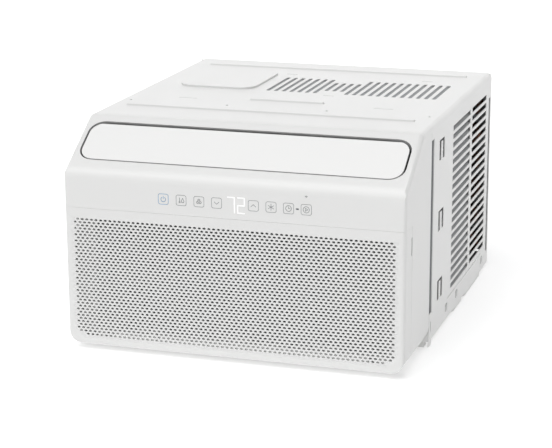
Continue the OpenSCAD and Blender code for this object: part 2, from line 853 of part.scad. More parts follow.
module front_panel() {
  color("whitesmoke") {
    difference() {
      front_shell();
      // room for the grille, all but the toes at the lower corners
      across(2 * (half_w - jaw_r - 8)) translate([front_y - past, 0])
        square([plate_y - front_y + past, shelf_z]);
      across(body_w + 4) polygon([
        [front_y - past, 0], [hinge_y - 2, 0], [hinge_y - 2, toe_z - grille_gap],
        [plate_y, toe_z - grille_gap], [plate_y, shelf_z], [front_y - past, shelf_z]]);
      on_slant() translate([0, 0, -10]) linear_extrude(20) flap_opening(0);
      translate([-half_w - past, gland_y, gland_z]) rotate([0, 90, 0])
        cylinder(d = gland_d, h = front_wall + 2 * past);
      // the pan and the lower window rib stand where the underside stops
      translate([-pan_front_x - fit_gap, pan_front_y - fit_gap, 0])
        cube([2 * (pan_front_x + fit_gap), front_d, pan_z + 6]);
    }
    along(plate_y, plate_t) intersection() {
      intake_plate();
      front_face(front_wall / 2);
    }
    translate([-half_w + 4, front_y + 1, shelf_z]) cube([body_w - 8, plate_y - front_y + 1, front_wall]);
    filter_guides();
    hinge_ears();
    on_slant() translate([0, 0, -rim_d]) linear_extrude(rim_d - 1) difference() {
      flap_opening(2);
      flap_opening(0);
    }
  }
}

// Screws that hold the plastic front to the evaporator's end plates
module front_panel_screws() {
  color("silver") for (x = [-screw_x, screw_x], z = panel_screw_z)
    translate([x, plate_y, z]) rotate([-90, 0, 0]) screw(12);
}

// Children with a bore of diameter d along Z, from z = 0 to h
module bored(d, h) {
  difference() {
    children();
    translate([0, 0, -past]) cylinder(d = d, h = h + 2 * past);
  }
}

// Pan-head screw that points along +Z with its head below Z = 0
module screw(len) {
  difference() {
    translate([0, 0, -screw_head_h]) cylinder(r = screw_head_r, h = screw_head_h, $fn = 32);
    for (a = [0, 90]) rotate(a)
      translate([-2.5, -0.5, -screw_head_h - past]) cube([5, 1, past + 0.9]);
  }
  cylinder(r = screw_r, h = len, $fn = 24);
}

// ---- Intake grille ----

// Field of staggered holes in [x, z]
module hole_field() {
  x1 = half_w - field_margin;
  z0 = foot_h + field_margin;
  z1 = grille_top_z - field_margin - 3;
  row_pitch = hole_pitch * 0.654;
  rows = floor((z1 - z0 - hole_d) / row_pitch);
  cols = floor((2 * x1 - hole_d) / hole_pitch / 2);
  z_first = (z0 + z1 - rows * row_pitch) / 2;
  for (r = [0:rows], c = [-cols:cols]) {
    x = (c + (r % 2 == 0 ? 0 : 0.5)) * hole_pitch;
    z = z_first + r * row_pitch;
    dx = max(0, abs(x) - (x1 - field_r));
    dz = max(0, z0 + field_r - z);
    if (abs(x) < x1 - hole_d / 2 && norm([dx, dz]) < field_r - hole_d / 2)
      translate([x, z]) circle(d = hole_d, $fn = 16);
  }
}

// Flat part of the grille's face in [x, z]
module grille_plate() {
  intersection() {
    front_face(field_margin - 4);
    translate([-half_w, foot_h]) square([body_w, grille_top_z - foot_h - 4]);
  }
}

module intake_grille() {
  color("whitesmoke") {
    difference() {
      intersection() {
        front_shell();
        across(body_w + 4) grille_zone();
      }
      // the face is set in as a flat perforated plate
      along(front_y - past, front_wall + 2 * past) grille_plate();
      both_sides()
        translate([half_w - 10, grille_back_y - notch_w, grille_top_z - notch_drop - notch_h])
          cube([20, notch_w + past, notch_h]);
    }
    along(front_y, front_wall) difference() {
      grille_plate();
      hole_field();
    }
    // stiffening flange behind the top edge
    translate([-half_w + 5, front_y + 1, grille_top_z - front_wall]) cube([body_w - 10, 14, front_wall]);
    both_sides() translate([hinge_x, 0, 0]) difference() {
      across(knuckle_w) {
        knuckle_outline();
        polygon([[hinge_y, hinge_z - knuckle_r], [hinge_y - 11, foot_h + 1],
             [hinge_y - 20, foot_h + 1], [hinge_y - 14, hinge_z],
             [hinge_y, hinge_z + knuckle_r]]);
      }
      translate([0, hinge_y, hinge_z]) rotate([0, 90, 0])
        cylinder(d = grille_pin_d + 2 * run_gap, h = knuckle_w + 2, center = true);
    }
  }
}

module grille_pins() {
  len = knuckle_w + 2 * (fit_gap + ear_w);
  color("silver") both_sides() translate([hinge_x, hinge_y, hinge_z]) rotate([0, 90, 0])
    cylinder(d = grille_pin_d, h = len, center = true);
}

// ---- Filter ----

filter_y = plate_y - fit_gap - filter_t;

filter_cols = 4;
filter_rows = 2;

// Openings between the bars of the frame, in [x, z]
module filter_cells() {
  cell_w = (filter_w - filter_bar) / filter_cols - filter_bar;
  cell_h = (filter_h - filter_bar) / filter_rows - filter_bar;
  for (i = [0:filter_cols - 1], j = [0:filter_rows - 1])
    translate([-filter_w / 2 + filter_bar + i * (cell_w + filter_bar),
          filter_z + filter_bar + j * (cell_h + filter_bar)])
      square([cell_w, cell_h]);
}

module filter_frame() {
  color("gray") along(filter_y, filter_t) difference() {
    translate([-filter_w / 2, filter_z]) square([filter_w, filter_h]);
    filter_cells();
  }
}

// Mesh stretched between the bars of the frame
module filter_mesh() {
  color("dimgray") along(filter_y + (filter_t - mesh_t) / 2, mesh_t) filter_cells();
}

// ---- Outlet ----

throat_high = slant_at(flap_top, vane_deep + vane_behind - 2);
throat_low = slant_at(open_low, vane_deep + vane_behind + 1.5);
window_top_z = throat_high.y;
window_bottom_z = throat_low.y;

// Inside of the duct in [y, z], from the mouth down past the vanes and back to the blower housing
module duct_inside(ends) {
  mouth = duct_mouth + duct_wall - ends;
  rear = housing_front_y - duct_wall + ends;
  polygon([slant_at(flap_top, mouth), throat_high, [rear, throat_high.y], [rear, throat_low.y],
       throat_low, slant_at(open_low, mouth)]);
}

module outlet_duct() {
  color("whitesmoke") difference() {
    union() {
      across(2 * (duct_x + duct_wall)) intersection() {
        offset(delta = duct_wall) duct_inside(0);
        translate([front_y, 0]) square([housing_front_y - front_y, body_h]);
      }
      // flange that closes the rim round the opening
      on_slant() translate([0, 0, -duct_mouth - duct_wall]) linear_extrude(duct_wall) flap_opening(2);
    }
    across(2 * duct_x) duct_inside(duct_wall + past);
    // bores of the vane pivots
    on_slant() for (i = [0:2 * gang_count - 1], s = [flap_top, open_low + duct_wall])
      translate([vane_x(i), -s + duct_wall + 1, -vane_deep]) rotate([90, 0, 0])
        cylinder(d = vane_pin_d + 2 * run_gap, h = duct_wall + 2);
    // bore of the flap's left pin, and clearance for the motor's shaft
    on_slant() translate([-duct_x - duct_wall - 1, -axis_s, -axis_deep]) rotate([0, 90, 0])
      cylinder(d = flap_pin_d + 2 * run_gap, h = duct_wall + 2);
    on_slant() translate([duct_x - 1, -axis_s, -axis_deep]) rotate([0, 90, 0])
      cylinder(d = flap_pin_d + 2 * run_gap, h = duct_wall + 2);
    // the motor sits through the flange
    on_slant() translate([duct_x + duct_wall, -axis_s - motor_r - 7, -duct_mouth - duct_wall - 1])
      cube([motor_l + 1, 2 * motor_r + 14, duct_wall + 2]);
  }
}

function vane_x(i) = (i - gang_count + 0.5) * vane_pitch;

motor_r = 12;
motor_l = 13;
motor_offset = 7;
flap_bevel = 1.6;
flap_ribs = [14, 40];
flap_rib_t = 2;
flap_rib_h = 4;

module louvre_flap() {
  color("white") on_slant() {
    difference() {
      translate([0, 0, -flap_t]) linear_extrude(flap_t)
        polygon(round_box([-flap_x, -open_low + flap_gap_low], [flap_x, -flap_top - flap_gap_top],
                 flap_r - flap_gap_end));
      // softened top edge, where the flap rolls past the rim
      translate([0, -flap_top - flap_gap_top, 0]) rotate([45, 0, 0])
        cube([body_w, flap_bevel, flap_bevel], center = true);
    }
    // ribs under the panel
    for (s = flap_ribs)
      translate([-arm_x, -axis_s - s - flap_rib_t / 2, -flap_t - flap_rib_h])
        cube([2 * arm_x, flap_rib_t, flap_rib_h + sink]);
    both_sides() translate([arm_x, 0, 0]) flap_arm();
  }
}

// Arm that carries the flap on its axis
module flap_arm() {
  hub_r = flap_pin_d / 2 + 2.2;
  low_s = -axis_s - hub_r - 14;
  difference() {
    rotate([90, 0, 90]) linear_extrude(arm_t, center = true) {
      translate([-axis_s, -axis_deep]) circle(r = hub_r);
      polygon([[-axis_s - hub_r, -axis_deep], [low_s, -flap_t - sink], [low_s, -1],
           [-axis_s + hub_r, -1], [-axis_s + hub_r, -axis_deep]]);
    }
    translate([0, -axis_s, -axis_deep]) rotate([0, 90, 0])
      cylinder(d = flap_pin_d, h = arm_t + 2, center = true);
  }
}

// Left pin of the flap and the motor's drive shaft, both fast in the flap's arms
module flap_pins() {
  pin_l = duct_x + duct_wall - arm_x + arm_t / 2;
  color("silver") on_slant() translate([0, -axis_s, -axis_deep]) rotate([0, 90, 0]) {
    translate([0, 0, -duct_x - duct_wall]) cylinder(d = flap_pin_d, h = pin_l);
    translate([0, 0, arm_x - arm_t / 2]) cylinder(d = flap_pin_d, h = pin_l + drive_l);
  }
}

// Stepper motor that turns the flap
module flap_motor() {
  color("silver") on_slant() translate([duct_x + duct_wall, -axis_s, -axis_deep]) rotate([0, 90, 0])
    difference() {
      union() {
        translate([motor_offset, 0, 0]) cylinder(r = motor_r, h = motor_l);
        translate([motor_offset, 0, 0]) linear_extrude(1) difference() {
          square([7, 2 * motor_r + 12], center = true);
          for (s = [-1, 1]) translate([0, s * (motor_r + 3)]) circle(r = 1.5);
        }
      }
      translate([0, 0, -past]) cylinder(d = flap_pin_d + 2 * run_gap, h = drive_l + 2 + past);
    }
}

drive_l = 8;
notch_half = bar_t / 2 + 0.5;
vane_edge = 1.2;

// Vane on its pivots, at rest square to the outlet
module vane(i) {
  color("whitesmoke") on_slant() translate([vane_x(i), 0, -vane_deep]) {
    difference() {
      translate([0, -vane_low, 0]) rotate([-90, 0, 0]) linear_extrude(vane_low - vane_top)
        polygon([[-vane_edge / 2, -vane_ahead], [vane_edge / 2, -vane_ahead], [vane_t / 2, 0],
             [vane_edge / 2, vane_behind], [-vane_edge / 2, vane_behind], [-vane_t / 2, 0]]);
      // notch for the tie bar
      translate([0, -vane_mid, -vane_behind])
        cube([2 * vane_t, 2 * notch_half, 2 * (vane_behind - bar_reach)], center = true);
    }
    // pin in the notch
    translate([0, -vane_mid + notch_half + 2, -vane_arm]) rotate([90, 0, 0])
      cylinder(d = bar_pin_d, h = 2 * notch_half + 4, $fn = 24);
    // pivots
    for (s = [[vane_top + 1, 1, vane_top - flap_top], [vane_low - 1, -1, open_low - vane_low]])
      translate([0, -s[0], 0]) rotate([-90 * s[1], 0, 0])
        cylinder(d = vane_pin_d, h = 1 + s[2] + duct_wall - fit_gap, $fn = 24);
    // finger tab on the middle vane of each gang
    if (i % gang_count == 2)
      translate([-1, -vane_mid - 8, vane_ahead - 1]) cube([2, 16, 4]);
  }
}

// Distance from the pivots to the bottom of the notch
bar_reach = vane_arm - bar_d / 2 - 1.5;
bar_end = 7;

// Tie bar of the gang that starts at vane n
module vane_bar(n) {
  slot_len = bar_pin_d + 2 * bar_gap + 2 * vane_arm * (1 - cos(vane_swing)) + 0.4;
  color("lightgray") on_slant() translate([0, -vane_mid + bar_t / 2, -bar_deep]) rotate([90, 0, 0])
    linear_extrude(bar_t) difference() {
      translate([vane_x(n) - bar_end, -bar_d / 2])
        square([(gang_count - 1) * vane_pitch + 2 * bar_end, bar_d]);
      for (i = [n:n + gang_count - 1])
        translate([vane_x(i), 0]) square([bar_pin_d + 2 * bar_gap, slot_len], center = true);
    }
}

// ---- Coils ----

// Fin pack in [x, y]: fins in front of and behind the core that holds the tubes
module fin_comb(w, d, core) {
  n = round((w - fin_t) / fin_pitch);
  step = (w - fin_t) / n;
  polygon(concat(
    [for (i = [0:n]) let (x = -w / 2 + i * step)
      each [[x, -core / 2], [x, -d / 2], [x + fin_t, -d / 2], [x + fin_t, -core / 2]]],
    [for (i = [n:-1:0]) let (x = -w / 2 + i * step)
      each [[x + fin_t, core / 2], [x + fin_t, d / 2], [x, d / 2], [x, core / 2]]]));
}

// Return bend between two tubes, one pitch apart, on the right end at x
module return_bend(x, y, z) {
  translate([x, y, z + tube_pitch / 2]) rotate([90, 0, 0]) rotate([0, 0, -90])
    rotate_extrude(angle = 180) translate([tube_pitch / 2, 0]) circle(d = tube_d, $fn = 24);
  for (s = [0, 1]) translate([x - leg, y, z + s * tube_pitch]) rotate([0, 90, 0])
    cylinder(d = tube_d, h = leg, $fn = 24);
}

leg = sheet + 2;
evaporator_w = 2 * evaporator_x;
evaporator_z = foot_h + 18;
evaporator_h = window_bottom_z - evaporator_room - evaporator_z;
evaporator_tube_z = evaporator_z + 11.5;
evaporator_rows = 2 * floor((evaporator_h - 11.5) / tube_pitch / 2 + 0.5);
condenser_w = 2 * condenser_x;
condenser_z = foot_h + 6;
condenser_h = body_h - condenser_high - condenser_z;
// the lowest tubes of both coils lie level, so that the liquid line runs straight
condenser_tube_z = evaporator_tube_z;
condenser_rows = 2 * floor((condenser_z + condenser_h - condenser_tube_z) / tube_pitch / 2 + 0.5);

// Heights of the lower tubes of the return bends
function bends(z0, rows, first) = [for (i = [first:2:rows - 2]) z0 + i * tube_pitch];

// Return bends of a coil, both ends, two tubes deep
module coil_bends(w, y, d, z0, rows) {
  for (dy = [d * 0.25, d * 0.75]) {
    for (z = bends(z0, rows, 0)) return_bend(w / 2 + leg, y + dy, z);
    mirror([1, 0, 0]) for (z = bends(z0, rows, 1)) return_bend(w / 2 + leg, y + dy, z);
  }
}

// Holes of a coil's end plate in [y, z]
module plate_holes(y, d, z0, rows) {
  for (dy = [d * 0.25, d * 0.75], i = [0:rows - 1])
    translate([y + dy, z0 + i * tube_pitch]) circle(d = tube_d, $fn = 24);
}

module evaporator_fins() {
  color("lightsteelblue") translate([0, evaporator_y + evaporator_d / 2, evaporator_z])
    linear_extrude(evaporator_h) fin_comb(evaporator_w, evaporator_d, 6);
}

module evaporator_tubes() {
  color("peru") coil_bends(evaporator_w, evaporator_y, evaporator_d, evaporator_tube_z, evaporator_rows);
}

module evaporator_plates() {
  flange_y = plate_y + plate_t;
  front = pan_front_y + sheet + fit_gap;
  low = pan_z + pan_rim;
  high = evaporator_z + evaporator_h + 2;
  color("silver") both_sides() {
    translate([evaporator_w / 2, 0, 0]) rotate([90, 0, 90]) linear_extrude(sheet) difference() {
      union() {
        translate([front, pan_z]) square([evaporator_y + evaporator_d + 4 - front, high - pan_z]);
        translate([flange_y, low]) square([front - flange_y + past, high - low]);
      }
      plate_holes(evaporator_y, evaporator_d, evaporator_tube_z, evaporator_rows);
    }
    along(flange_y, sheet) difference() {
      translate([evaporator_w / 2, low])
        square([half_w - front_wall - 4 - evaporator_w / 2, high - low]);
      for (z = panel_screw_z) translate([screw_x, z]) circle(r = screw_r);
    }
  }
}

module condenser_fins() {
  color("lightsteelblue") translate([0, condenser_y + condenser_d / 2, condenser_z])
    linear_extrude(condenser_h) fin_comb(condenser_w, condenser_d, 6);
}

module condenser_tubes() {
  color("peru") coil_bends(condenser_w, condenser_y, condenser_d, condenser_tube_z, condenser_rows);
}

module condenser_plates() {
  flange_y = rear_lip_y - sheet;
  low = pan_z + pan_rim + 2;
  high = condenser_z + condenser_h;
  mid_y = condenser_y + condenser_d / 2;
  color("silver") both_sides() {
    translate([condenser_w / 2, 0, 0]) rotate([90, 0, 90]) linear_extrude(sheet) difference() {
      union() {
        translate([condenser_y, pan_z])
          square([flange_y - 2 * fit_gap - condenser_y, high - pan_z]);
        translate([mid_y, low]) square([flange_y + sheet - mid_y, high - low]);
      }
      plate_holes(condenser_y, condenser_d, condenser_tube_z, condenser_rows);
    }
    along(flange_y, sheet) difference() {
      translate([condenser_w / 2, low]) square([inner_x - 2 - condenser_w / 2, high - low]);
      for (z = rear_screw_z) translate([rear_screw_x, z]) circle(r = screw_r);
    }
  }
}

// Screws of the cabinet's rear lip
module rear_screws() {
  color("silver") for (x = [-rear_screw_x, rear_screw_x], z = rear_screw_z)
    translate([x, rear_lip_y + sheet, z]) rotate([90, 0, 0]) screw(8);
}

// ---- Air system ----

suction_x = -half_w + 24;
suction_z = evaporator_tube_z + (evaporator_rows - 1) * tube_pitch;
liquid_x = -half_w + 11;
liquid_z = evaporator_tube_z;
suction_r = 5;
liquid_r = 2.5;

// Partition between the room side and the outdoor side
module bulkhead() {
  color("lightgray") difference() {
    union() {
      along(bulkhead_y, bulkhead_t) translate([-inner_x + fit_gap, pan_z])
        square([2 * (inner_x - fit_gap), under_top_z - pan_z]);
      translate([-inner_x + cabinet_r, bulkhead_y, under_top_z - 2])
        cube([2 * (inner_x - cabinet_r), seam_y + rail_hole_back + 10 - bulkhead_y, 2]);
    }
    // room for the pan's flanges and for the bent edges of the cabinet
    both_sides() translate([inner_x - sheet - 2 * fit_gap, bulkhead_y - past, 0])
      cube([5, bulkhead_t + 2 * past, foot_h + pan_rim + fit_gap]);
    both_sides() translate([inner_x - cabinet_r + 1, bulkhead_y - past, under_top_z - cabinet_r])
      cube([cabinet_r, bulkhead_t + 2 * past, cabinet_r + past]);
    for (i = [-1.5:1:1.5]) translate([i * rail_hole_pitch, seam_y + rail_hole_back, under_top_z - 3])
      cylinder(d = rail_hole_d - 0.8, h = 4);
    translate([rotor_x, bulkhead_y - past, rotor_z]) rotate([-90, 0, 0])
      cylinder(d = shaft_d + 14, h = bulkhead_t + 2 * past);
    translate([suction_x, bulkhead_y - past, suction_z]) rotate([-90, 0, 0])
      cylinder(r = suction_r + 0.5, h = bulkhead_t + 2 * past);
    translate([liquid_x, bulkhead_y - past, liquid_z]) rotate([-90, 0, 0])
      cylinder(r = liquid_r + 0.5, h = bulkhead_t + 2 * past);
  }
}

inlet_d = 2 * (window_bottom_z - duct_wall - inlet_room - inlet_rim - rotor_z);
wheel_d = inlet_d + 2 * wheel_lap;
scroll_r = wheel_d / 2 + 6;
scroll_grow = 26;
scroll_turns = 24;
neck_z = window_bottom_z - 4;

// Scroll and the chamber over it, inside, in [x, z]; it spreads away from the tongue
module scroll_inside() {
  translate([rotor_x, rotor_z]) polygon([for (i = [0:scroll_turns])
    let (a = 60 - 300 * i / scroll_turns, r = scroll_r + scroll_grow * i / scroll_turns)
    r * [cos(a), sin(a)]]);
  translate([rotor_x - scroll_r - scroll_grow, rotor_z])
    square([scroll_r + scroll_grow, neck_z - rotor_z + 10]);
  translate([-duct_x, neck_z]) square([2 * duct_x, window_top_z + 4 - neck_z]);
}

module blower_housing() {
  color("ivory") {
    along(housing_y, housing_d) difference() {
      offset(delta = housing_wall) scroll_inside();
      scroll_inside();
    }
    along(housing_front_y, housing_wall) difference() {
      offset(delta = housing_wall) scroll_inside();
      translate([rotor_x, rotor_z]) circle(d = inlet_d + 10);
      translate([-duct_x, window_bottom_z]) square([2 * duct_x, window_top_z - window_bottom_z]);
    }
  }
}

// Bell-mouth that leads air into the blower wheel
module inlet_ring() {
  color("lightgray") translate([rotor_x, housing_front_y, rotor_z]) rotate([-90, 0, 0]) rotate_extrude()
    polygon([
      [inlet_d / 2, housing_wall + 4], [inlet_d / 2 + 2, housing_wall + 4],
      [inlet_d / 2 + 5, housing_wall], [inlet_d / 2 + 5, 0], [inlet_d / 2 + inlet_rim, 0],
      [inlet_d / 2 + inlet_rim, -2], [inlet_d / 2 + 4, -2],
      [inlet_d / 2 + 1, 0]]);
}

// Blade of the blower wheel, curved forward, in [x, z]
module wheel_blade() {
  chord = 11;
  bow = 8.5;
  intersection() {
    translate([wheel_d / 2 - 1 - chord / 2, bow * 0.45]) difference() {
      circle(r = bow, $fn = 24);
      circle(r = bow - 1.2, $fn = 24);
    }
    translate([wheel_d / 2 - 1.5 - chord, -bow]) square([chord, bow]);
  }
}

module blower_wheel() {
  color("black") translate([rotor_x, wheel_y, rotor_z]) rotate([-90, 0, 0]) {
    linear_extrude(wheel_w) for (i = [0:wheel_blades - 1]) rotate(i * 360 / wheel_blades) wheel_blade();
    // back plate with a dished hub
    rotate_extrude() polygon([
      [shaft_d / 2, wheel_w - 26], [shaft_d / 2 + 7, wheel_w - 26], [shaft_d / 2 + 7, wheel_w - 14],
      [wheel_d / 2 - 22, wheel_w - 2.5], [wheel_d / 2, wheel_w - 2.5], [wheel_d / 2, wheel_w],
      [wheel_d / 2 - 22, wheel_w], [shaft_d / 2 + 6, wheel_w - 10], [shaft_d / 2, wheel_w - 10]]);
    // front ring
    rotate_extrude() translate([wheel_d / 2 - 12, 0]) square([12, 2.5]);
  }
}

shaft_front_y = wheel_y + 10;
shaft_back_y = fan_y + fan_depth - 2;
wheel_hub_y = wheel_y + wheel_w - 26;
fan_hub_y = fan_y + 6;
fan_hub_len = 20;
nut_h = 6;

// Hexagonal nut on the shaft, from y
module shaft_nut(y) {
  translate([rotor_x, y, rotor_z]) rotate([-90, 0, 0]) bored(shaft_d, nut_h)
    cylinder(d = shaft_d + 10, h = nut_h, $fn = 6);
}

module blower_nut() {
  color("silver") shaft_nut(wheel_hub_y - nut_h);
}

module fan_nut() {
  color("silver") shaft_nut(fan_hub_y + fan_hub_len);
}

module motor_shaft() {
  color("silver") translate([rotor_x, shaft_front_y, rotor_z]) rotate([-90, 0, 0])
    cylinder(d = shaft_d, h = shaft_back_y - shaft_front_y);
}

module fan_motor() {
  color("dimgray") translate([rotor_x, motor_y, rotor_z]) rotate([-90, 0, 0]) difference() {
    rotate_extrude() polygon(rounded([
      [0, -8, 0], [16, -8, 2], [18, 6, 2], [motor_d / 2 - 8, 8, 3], [motor_d / 2 - 6, 14, 2],
      [motor_d / 2, 14, 1], [motor_d / 2, motor_len - 14, 1], [motor_d / 2 - 6, motor_len - 14, 2],
      [motor_d / 2 - 8, motor_len - 8, 3], [18, motor_len - 6, 2], [16, motor_len + 8, 2],
      [0, motor_len + 8, 0]]));
    translate([0, 0, -9]) cylinder(d = shaft_d + 2 * run_gap, h = motor_len + 18);
  }
}

// Saddle that carries the fan motor on the base pan
module motor_bracket() {
  w = motor_d + 16;
  color("silver") along(motor_y + motor_len / 2 - 16, 32) difference() {
    translate([rotor_x, 0]) polygon([
      [-w / 2 - 14, pan_z], [w / 2 + 14, pan_z], [w / 2 + 14, pan_z + 3], [w / 2, pan_z + 3],
      [motor_d / 2 + 3, rotor_z], [-motor_d / 2 - 3, rotor_z], [-w / 2, pan_z + 3],
      [-w / 2 - 14, pan_z + 3]]);
    translate([rotor_x, rotor_z]) circle(d = motor_d);
    translate([rotor_x, 0]) polygon(rounded([
      [-w / 2 + 6, pan_z + 6, 4], [w / 2 - 6, pan_z + 6, 4], [w / 2 - 9, rotor_z - motor_d / 2 - 1, 4],
      [8, rotor_z - motor_d / 2 - 6, 4], [-8, rotor_z - motor_d / 2 - 6, 4],
      [-w / 2 + 9, rotor_z - motor_d / 2 - 1, 4]]));
  }
}

// Corner of a blade's outline at radius r
function polar(r, a) = [r * cos(a), r * sin(a)];

// Pitched and cambered blade, swept forward towards its tip
module fan_blade() {
  root = hub_d / 2 - 2;
  tip = fan_d / 2 - 3;
  intersection() {
    cylinder(r = tip, h = fan_depth, center = true);
    linear_extrude(fan_depth, center = true)
      polygon([polar(root, -30), polar(tip + 10, -18), polar(tip + 10, blade_sweep), polar(root, 30)]);
    translate([root, 0, 0]) rotate([90, 0, 90]) rotate(fan_pitch) translate([0, -blade_curve])
      linear_extrude(tip - root) difference() {
        circle(r = blade_curve + blade_t / 2);
        circle(r = blade_curve - blade_t / 2);
      }
  }
}

module condenser_fan() {
  color("black") translate([rotor_x, fan_y, rotor_z]) rotate([-90, 0, 0]) {
    difference() {
      union() {
        rotate_extrude() polygon([
          [hub_d / 2 - 3, 0], [hub_d / 2, 2], [hub_d / 2, fan_depth], [hub_d / 2 - 2.5, fan_depth],
          [hub_d / 2 - 2.5, 9], [shaft_d / 2 + 7, 9], [shaft_d / 2 + 7, 6 + fan_hub_len],
          [shaft_d / 2, 6 + fan_hub_len], [shaft_d / 2, 6], [hub_d / 2 - 6, 6]]);
        for (i = [0:fan_blades - 1]) rotate(i * 360 / fan_blades)
          translate([0, 0, fan_depth / 2]) fan_blade();
      }
      translate([0, 0, -past]) cylinder(d = shaft_d, h = fan_depth + 2);
    }
    // slinger ring
    rotate_extrude() polygon([
      [fan_d / 2 - 4, fan_depth / 2 - 5], [fan_d / 2 - 2, fan_depth / 2 - 5],
      [fan_d / 2 - 2, fan_depth / 2 + 3], [fan_d / 2, fan_depth / 2 + 3],
      [fan_d / 2, fan_depth / 2 + 5], [fan_d / 2 - 4, fan_depth / 2 + 5]]);
  }
}

module fan_shroud() {
  x = condenser_x - fit_gap;
  z1 = condenser_z + condenser_h;
  color("dimgray") {
    along(shroud_y, shroud_wall) difference() {
      translate([-x, pan_z]) square([2 * x, z1 - pan_z]);
      translate([rotor_x, rotor_z]) circle(r = ring_r);
    }
    along(shroud_y, condenser_y - fit_gap - shroud_y) difference() {
      translate([-x, pan_z]) square([2 * x, z1 - pan_z]);
      translate([-x + shroud_wall, pan_z - past])
        square([2 * (x - shroud_wall), z1 - pan_z - shroud_wall + past]);
    }
    translate([rotor_x, collar_y, rotor_z]) rotate([-90, 0, 0]) difference() {
      cylinder(r = collar_r, h = shroud_y + shroud_wall - collar_y);
      translate([0, 0, -past]) cylinder(r = ring_r, h = shroud_y + shroud_wall - collar_y + 2 * past);
    }
  }
}

// ---- Sealed system ----

foot_z = pan_z + grommet_h;
compressor_x = half_w - compressor_side;
compressor_y = fan_y - compressor_room - compressor_d / 2;

// Places of the three compressor mounts
module compressor_feet() {
  translate([-compressor_x, compressor_y, 0])
    for (a = [0, 120, 240]) rotate(a) translate([mount_r, 0, 0]) children();
}

module compressor() {
  r = compressor_d / 2;
  color("dimgray") {
    translate([-compressor_x, compressor_y, foot_z]) difference() {
      rotate_extrude() polygon(rounded([
        [0, 4, 0], [r - 14, 4, 8], [r, 18, 10], [r, compressor_h - 16, 12],
        [r - 20, compressor_h, 16], [0, compressor_h, 0]]));
      // hollow of the shell round the pump and its motor
      translate([0, 0, 60]) cylinder(r = r - 16, h = compressor_h - 90);
    }
    translate([-compressor_x, compressor_y, foot_z]) linear_extrude(4) difference() {
      polygon(rounded([for (a = [0, 120, 240])
        [(mount_r + 22) * cos(a), (mount_r + 22) * sin(a), 14]]));
      for (a = [0, 120, 240]) rotate(a) translate([mount_r, 0]) circle(d = stud_d + 6);
    }
    // discharge stub
    translate([stub_x, compressor_y, stub_z - 14]) cylinder(d = tube_d + 3, h = 14);
  }
}

// Rubber grommets under and through the compressor's foot plate
module compressor_grommets() {
  color("black") compressor_feet() translate([0, 0, pan_z]) bored(stud_d, grommet_h + 4) {
    cylinder(d = grommet_d, h = grommet_h);
    cylinder(d = stud_d + 6, h = grommet_h + 4);
  }
}

module compressor_nuts() {
  color("silver") compressor_feet() translate([0, 0, foot_z + 4]) bored(stud_d, 6) {
    cylinder(d = stud_d + 10, h = 1.2);
    cylinder(d = stud_d + 5, h = 5.5, $fn = 6);
  }
}

terminal_z = foot_z + compressor_h;

module terminal_cover() {
  color("black") translate([-compressor_x, compressor_y, terminal_z]) difference() {
    linear_extrude(20) polygon(round_box([-24, -20], [24, 20], 8));
    translate([0, 0, -past]) linear_extrude(18 + past) polygon(round_box([-22, -18], [22, 18], 6));
  }
}

accumulator_x = -compressor_x - accumulator_side;
accumulator_y = compressor_y - accumulator_front;
accumulator_z = pan_z + accumulator_up;
accumulator_h = suction_z - accumulator_room - accumulator_z;

module accumulator() {
  r = accumulator_d / 2;
  color("dimgray") {
    translate([accumulator_x, accumulator_y, accumulator_z]) rotate_extrude() polygon(rounded([
      [0, 0, 0], [8, 0, 2], [r, 16, 12], [r, accumulator_h - 16, 12], [8, accumulator_h, 2],
      [0, accumulator_h, 0]]));
    // strap to the compressor
    a = atan2(compressor_y - accumulator_y, -compressor_x - accumulator_x);
    d = norm([compressor_y - accumulator_y, -compressor_x - accumulator_x]);
    translate([accumulator_x, accumulator_y, accumulator_z + accumulator_h / 2]) rotate(a)
      translate([r - 1, -6, -8]) cube([d - r - compressor_d / 2 + 0.6, 12, 16]);
  }
}

stub_x = -compressor_x - stub_side;
stub_z = terminal_z + 4;

// Hot gas line from the compressor's top to the condenser
module discharge_pipe() {
  x1 = -half_w + 13;
  y1 = condenser_y + condenser_d * 0.25;
  z1 = condenser_tube_z + (condenser_rows - 1) * tube_pitch;
  color("peru") bent_tube([
    [stub_x, compressor_y, stub_z], [stub_x, compressor_y, z1], [x1, compressor_y, z1],
    [x1, y1, z1], [-condenser_w / 2, y1, z1]], 8, tube_d / 2);
}

// Cold gas line from the evaporator to the accumulator
module suction_pipe() {
  y0 = evaporator_y + evaporator_d * 0.75;
  color("peru") bent_tube([
    [-evaporator_w / 2, y0, suction_z], [suction_x, y0, suction_z],
    [suction_x, accumulator_y, suction_z], [accumulator_x, accumulator_y, suction_z],
    [accumulator_x, accumulator_y, accumulator_z + accumulator_h]], 12, tube_d / 2);
}

// Liquid line from the condenser to the evaporator
module liquid_pipe() {
  y0 = evaporator_y + evaporator_d * 0.25;
  y1 = condenser_y + condenser_d * 0.25;
  color("peru") bent_tube([
    [-condenser_w / 2, y1, liquid_z], [liquid_x, y1, liquid_z], [liquid_x, y0, liquid_z],
    [-evaporator_w / 2, y0, liquid_z]], 8, liquid_r);
}

// Run capacitor on the base pan
module run_capacitor() {
  tab_w = 6;
  color("silver") translate([-compressor_x - 10, bulkhead_y + capacitor_back, pan_z]) {
    cylinder(d = capacitor_d, h = capacitor_h);
    for (x = [-8, 0, 8]) translate([x - tab_w / 2, -0.4, capacitor_h]) cube([tab_w, 0.8, 8]);
  }
}

// ---- Controls ----

fascia_y = front_y + front_wall;
board_y = fascia_y + board_gap;
keys_z = grille_top_z + keys_up;
board_z = keys_z - board_h / 2;

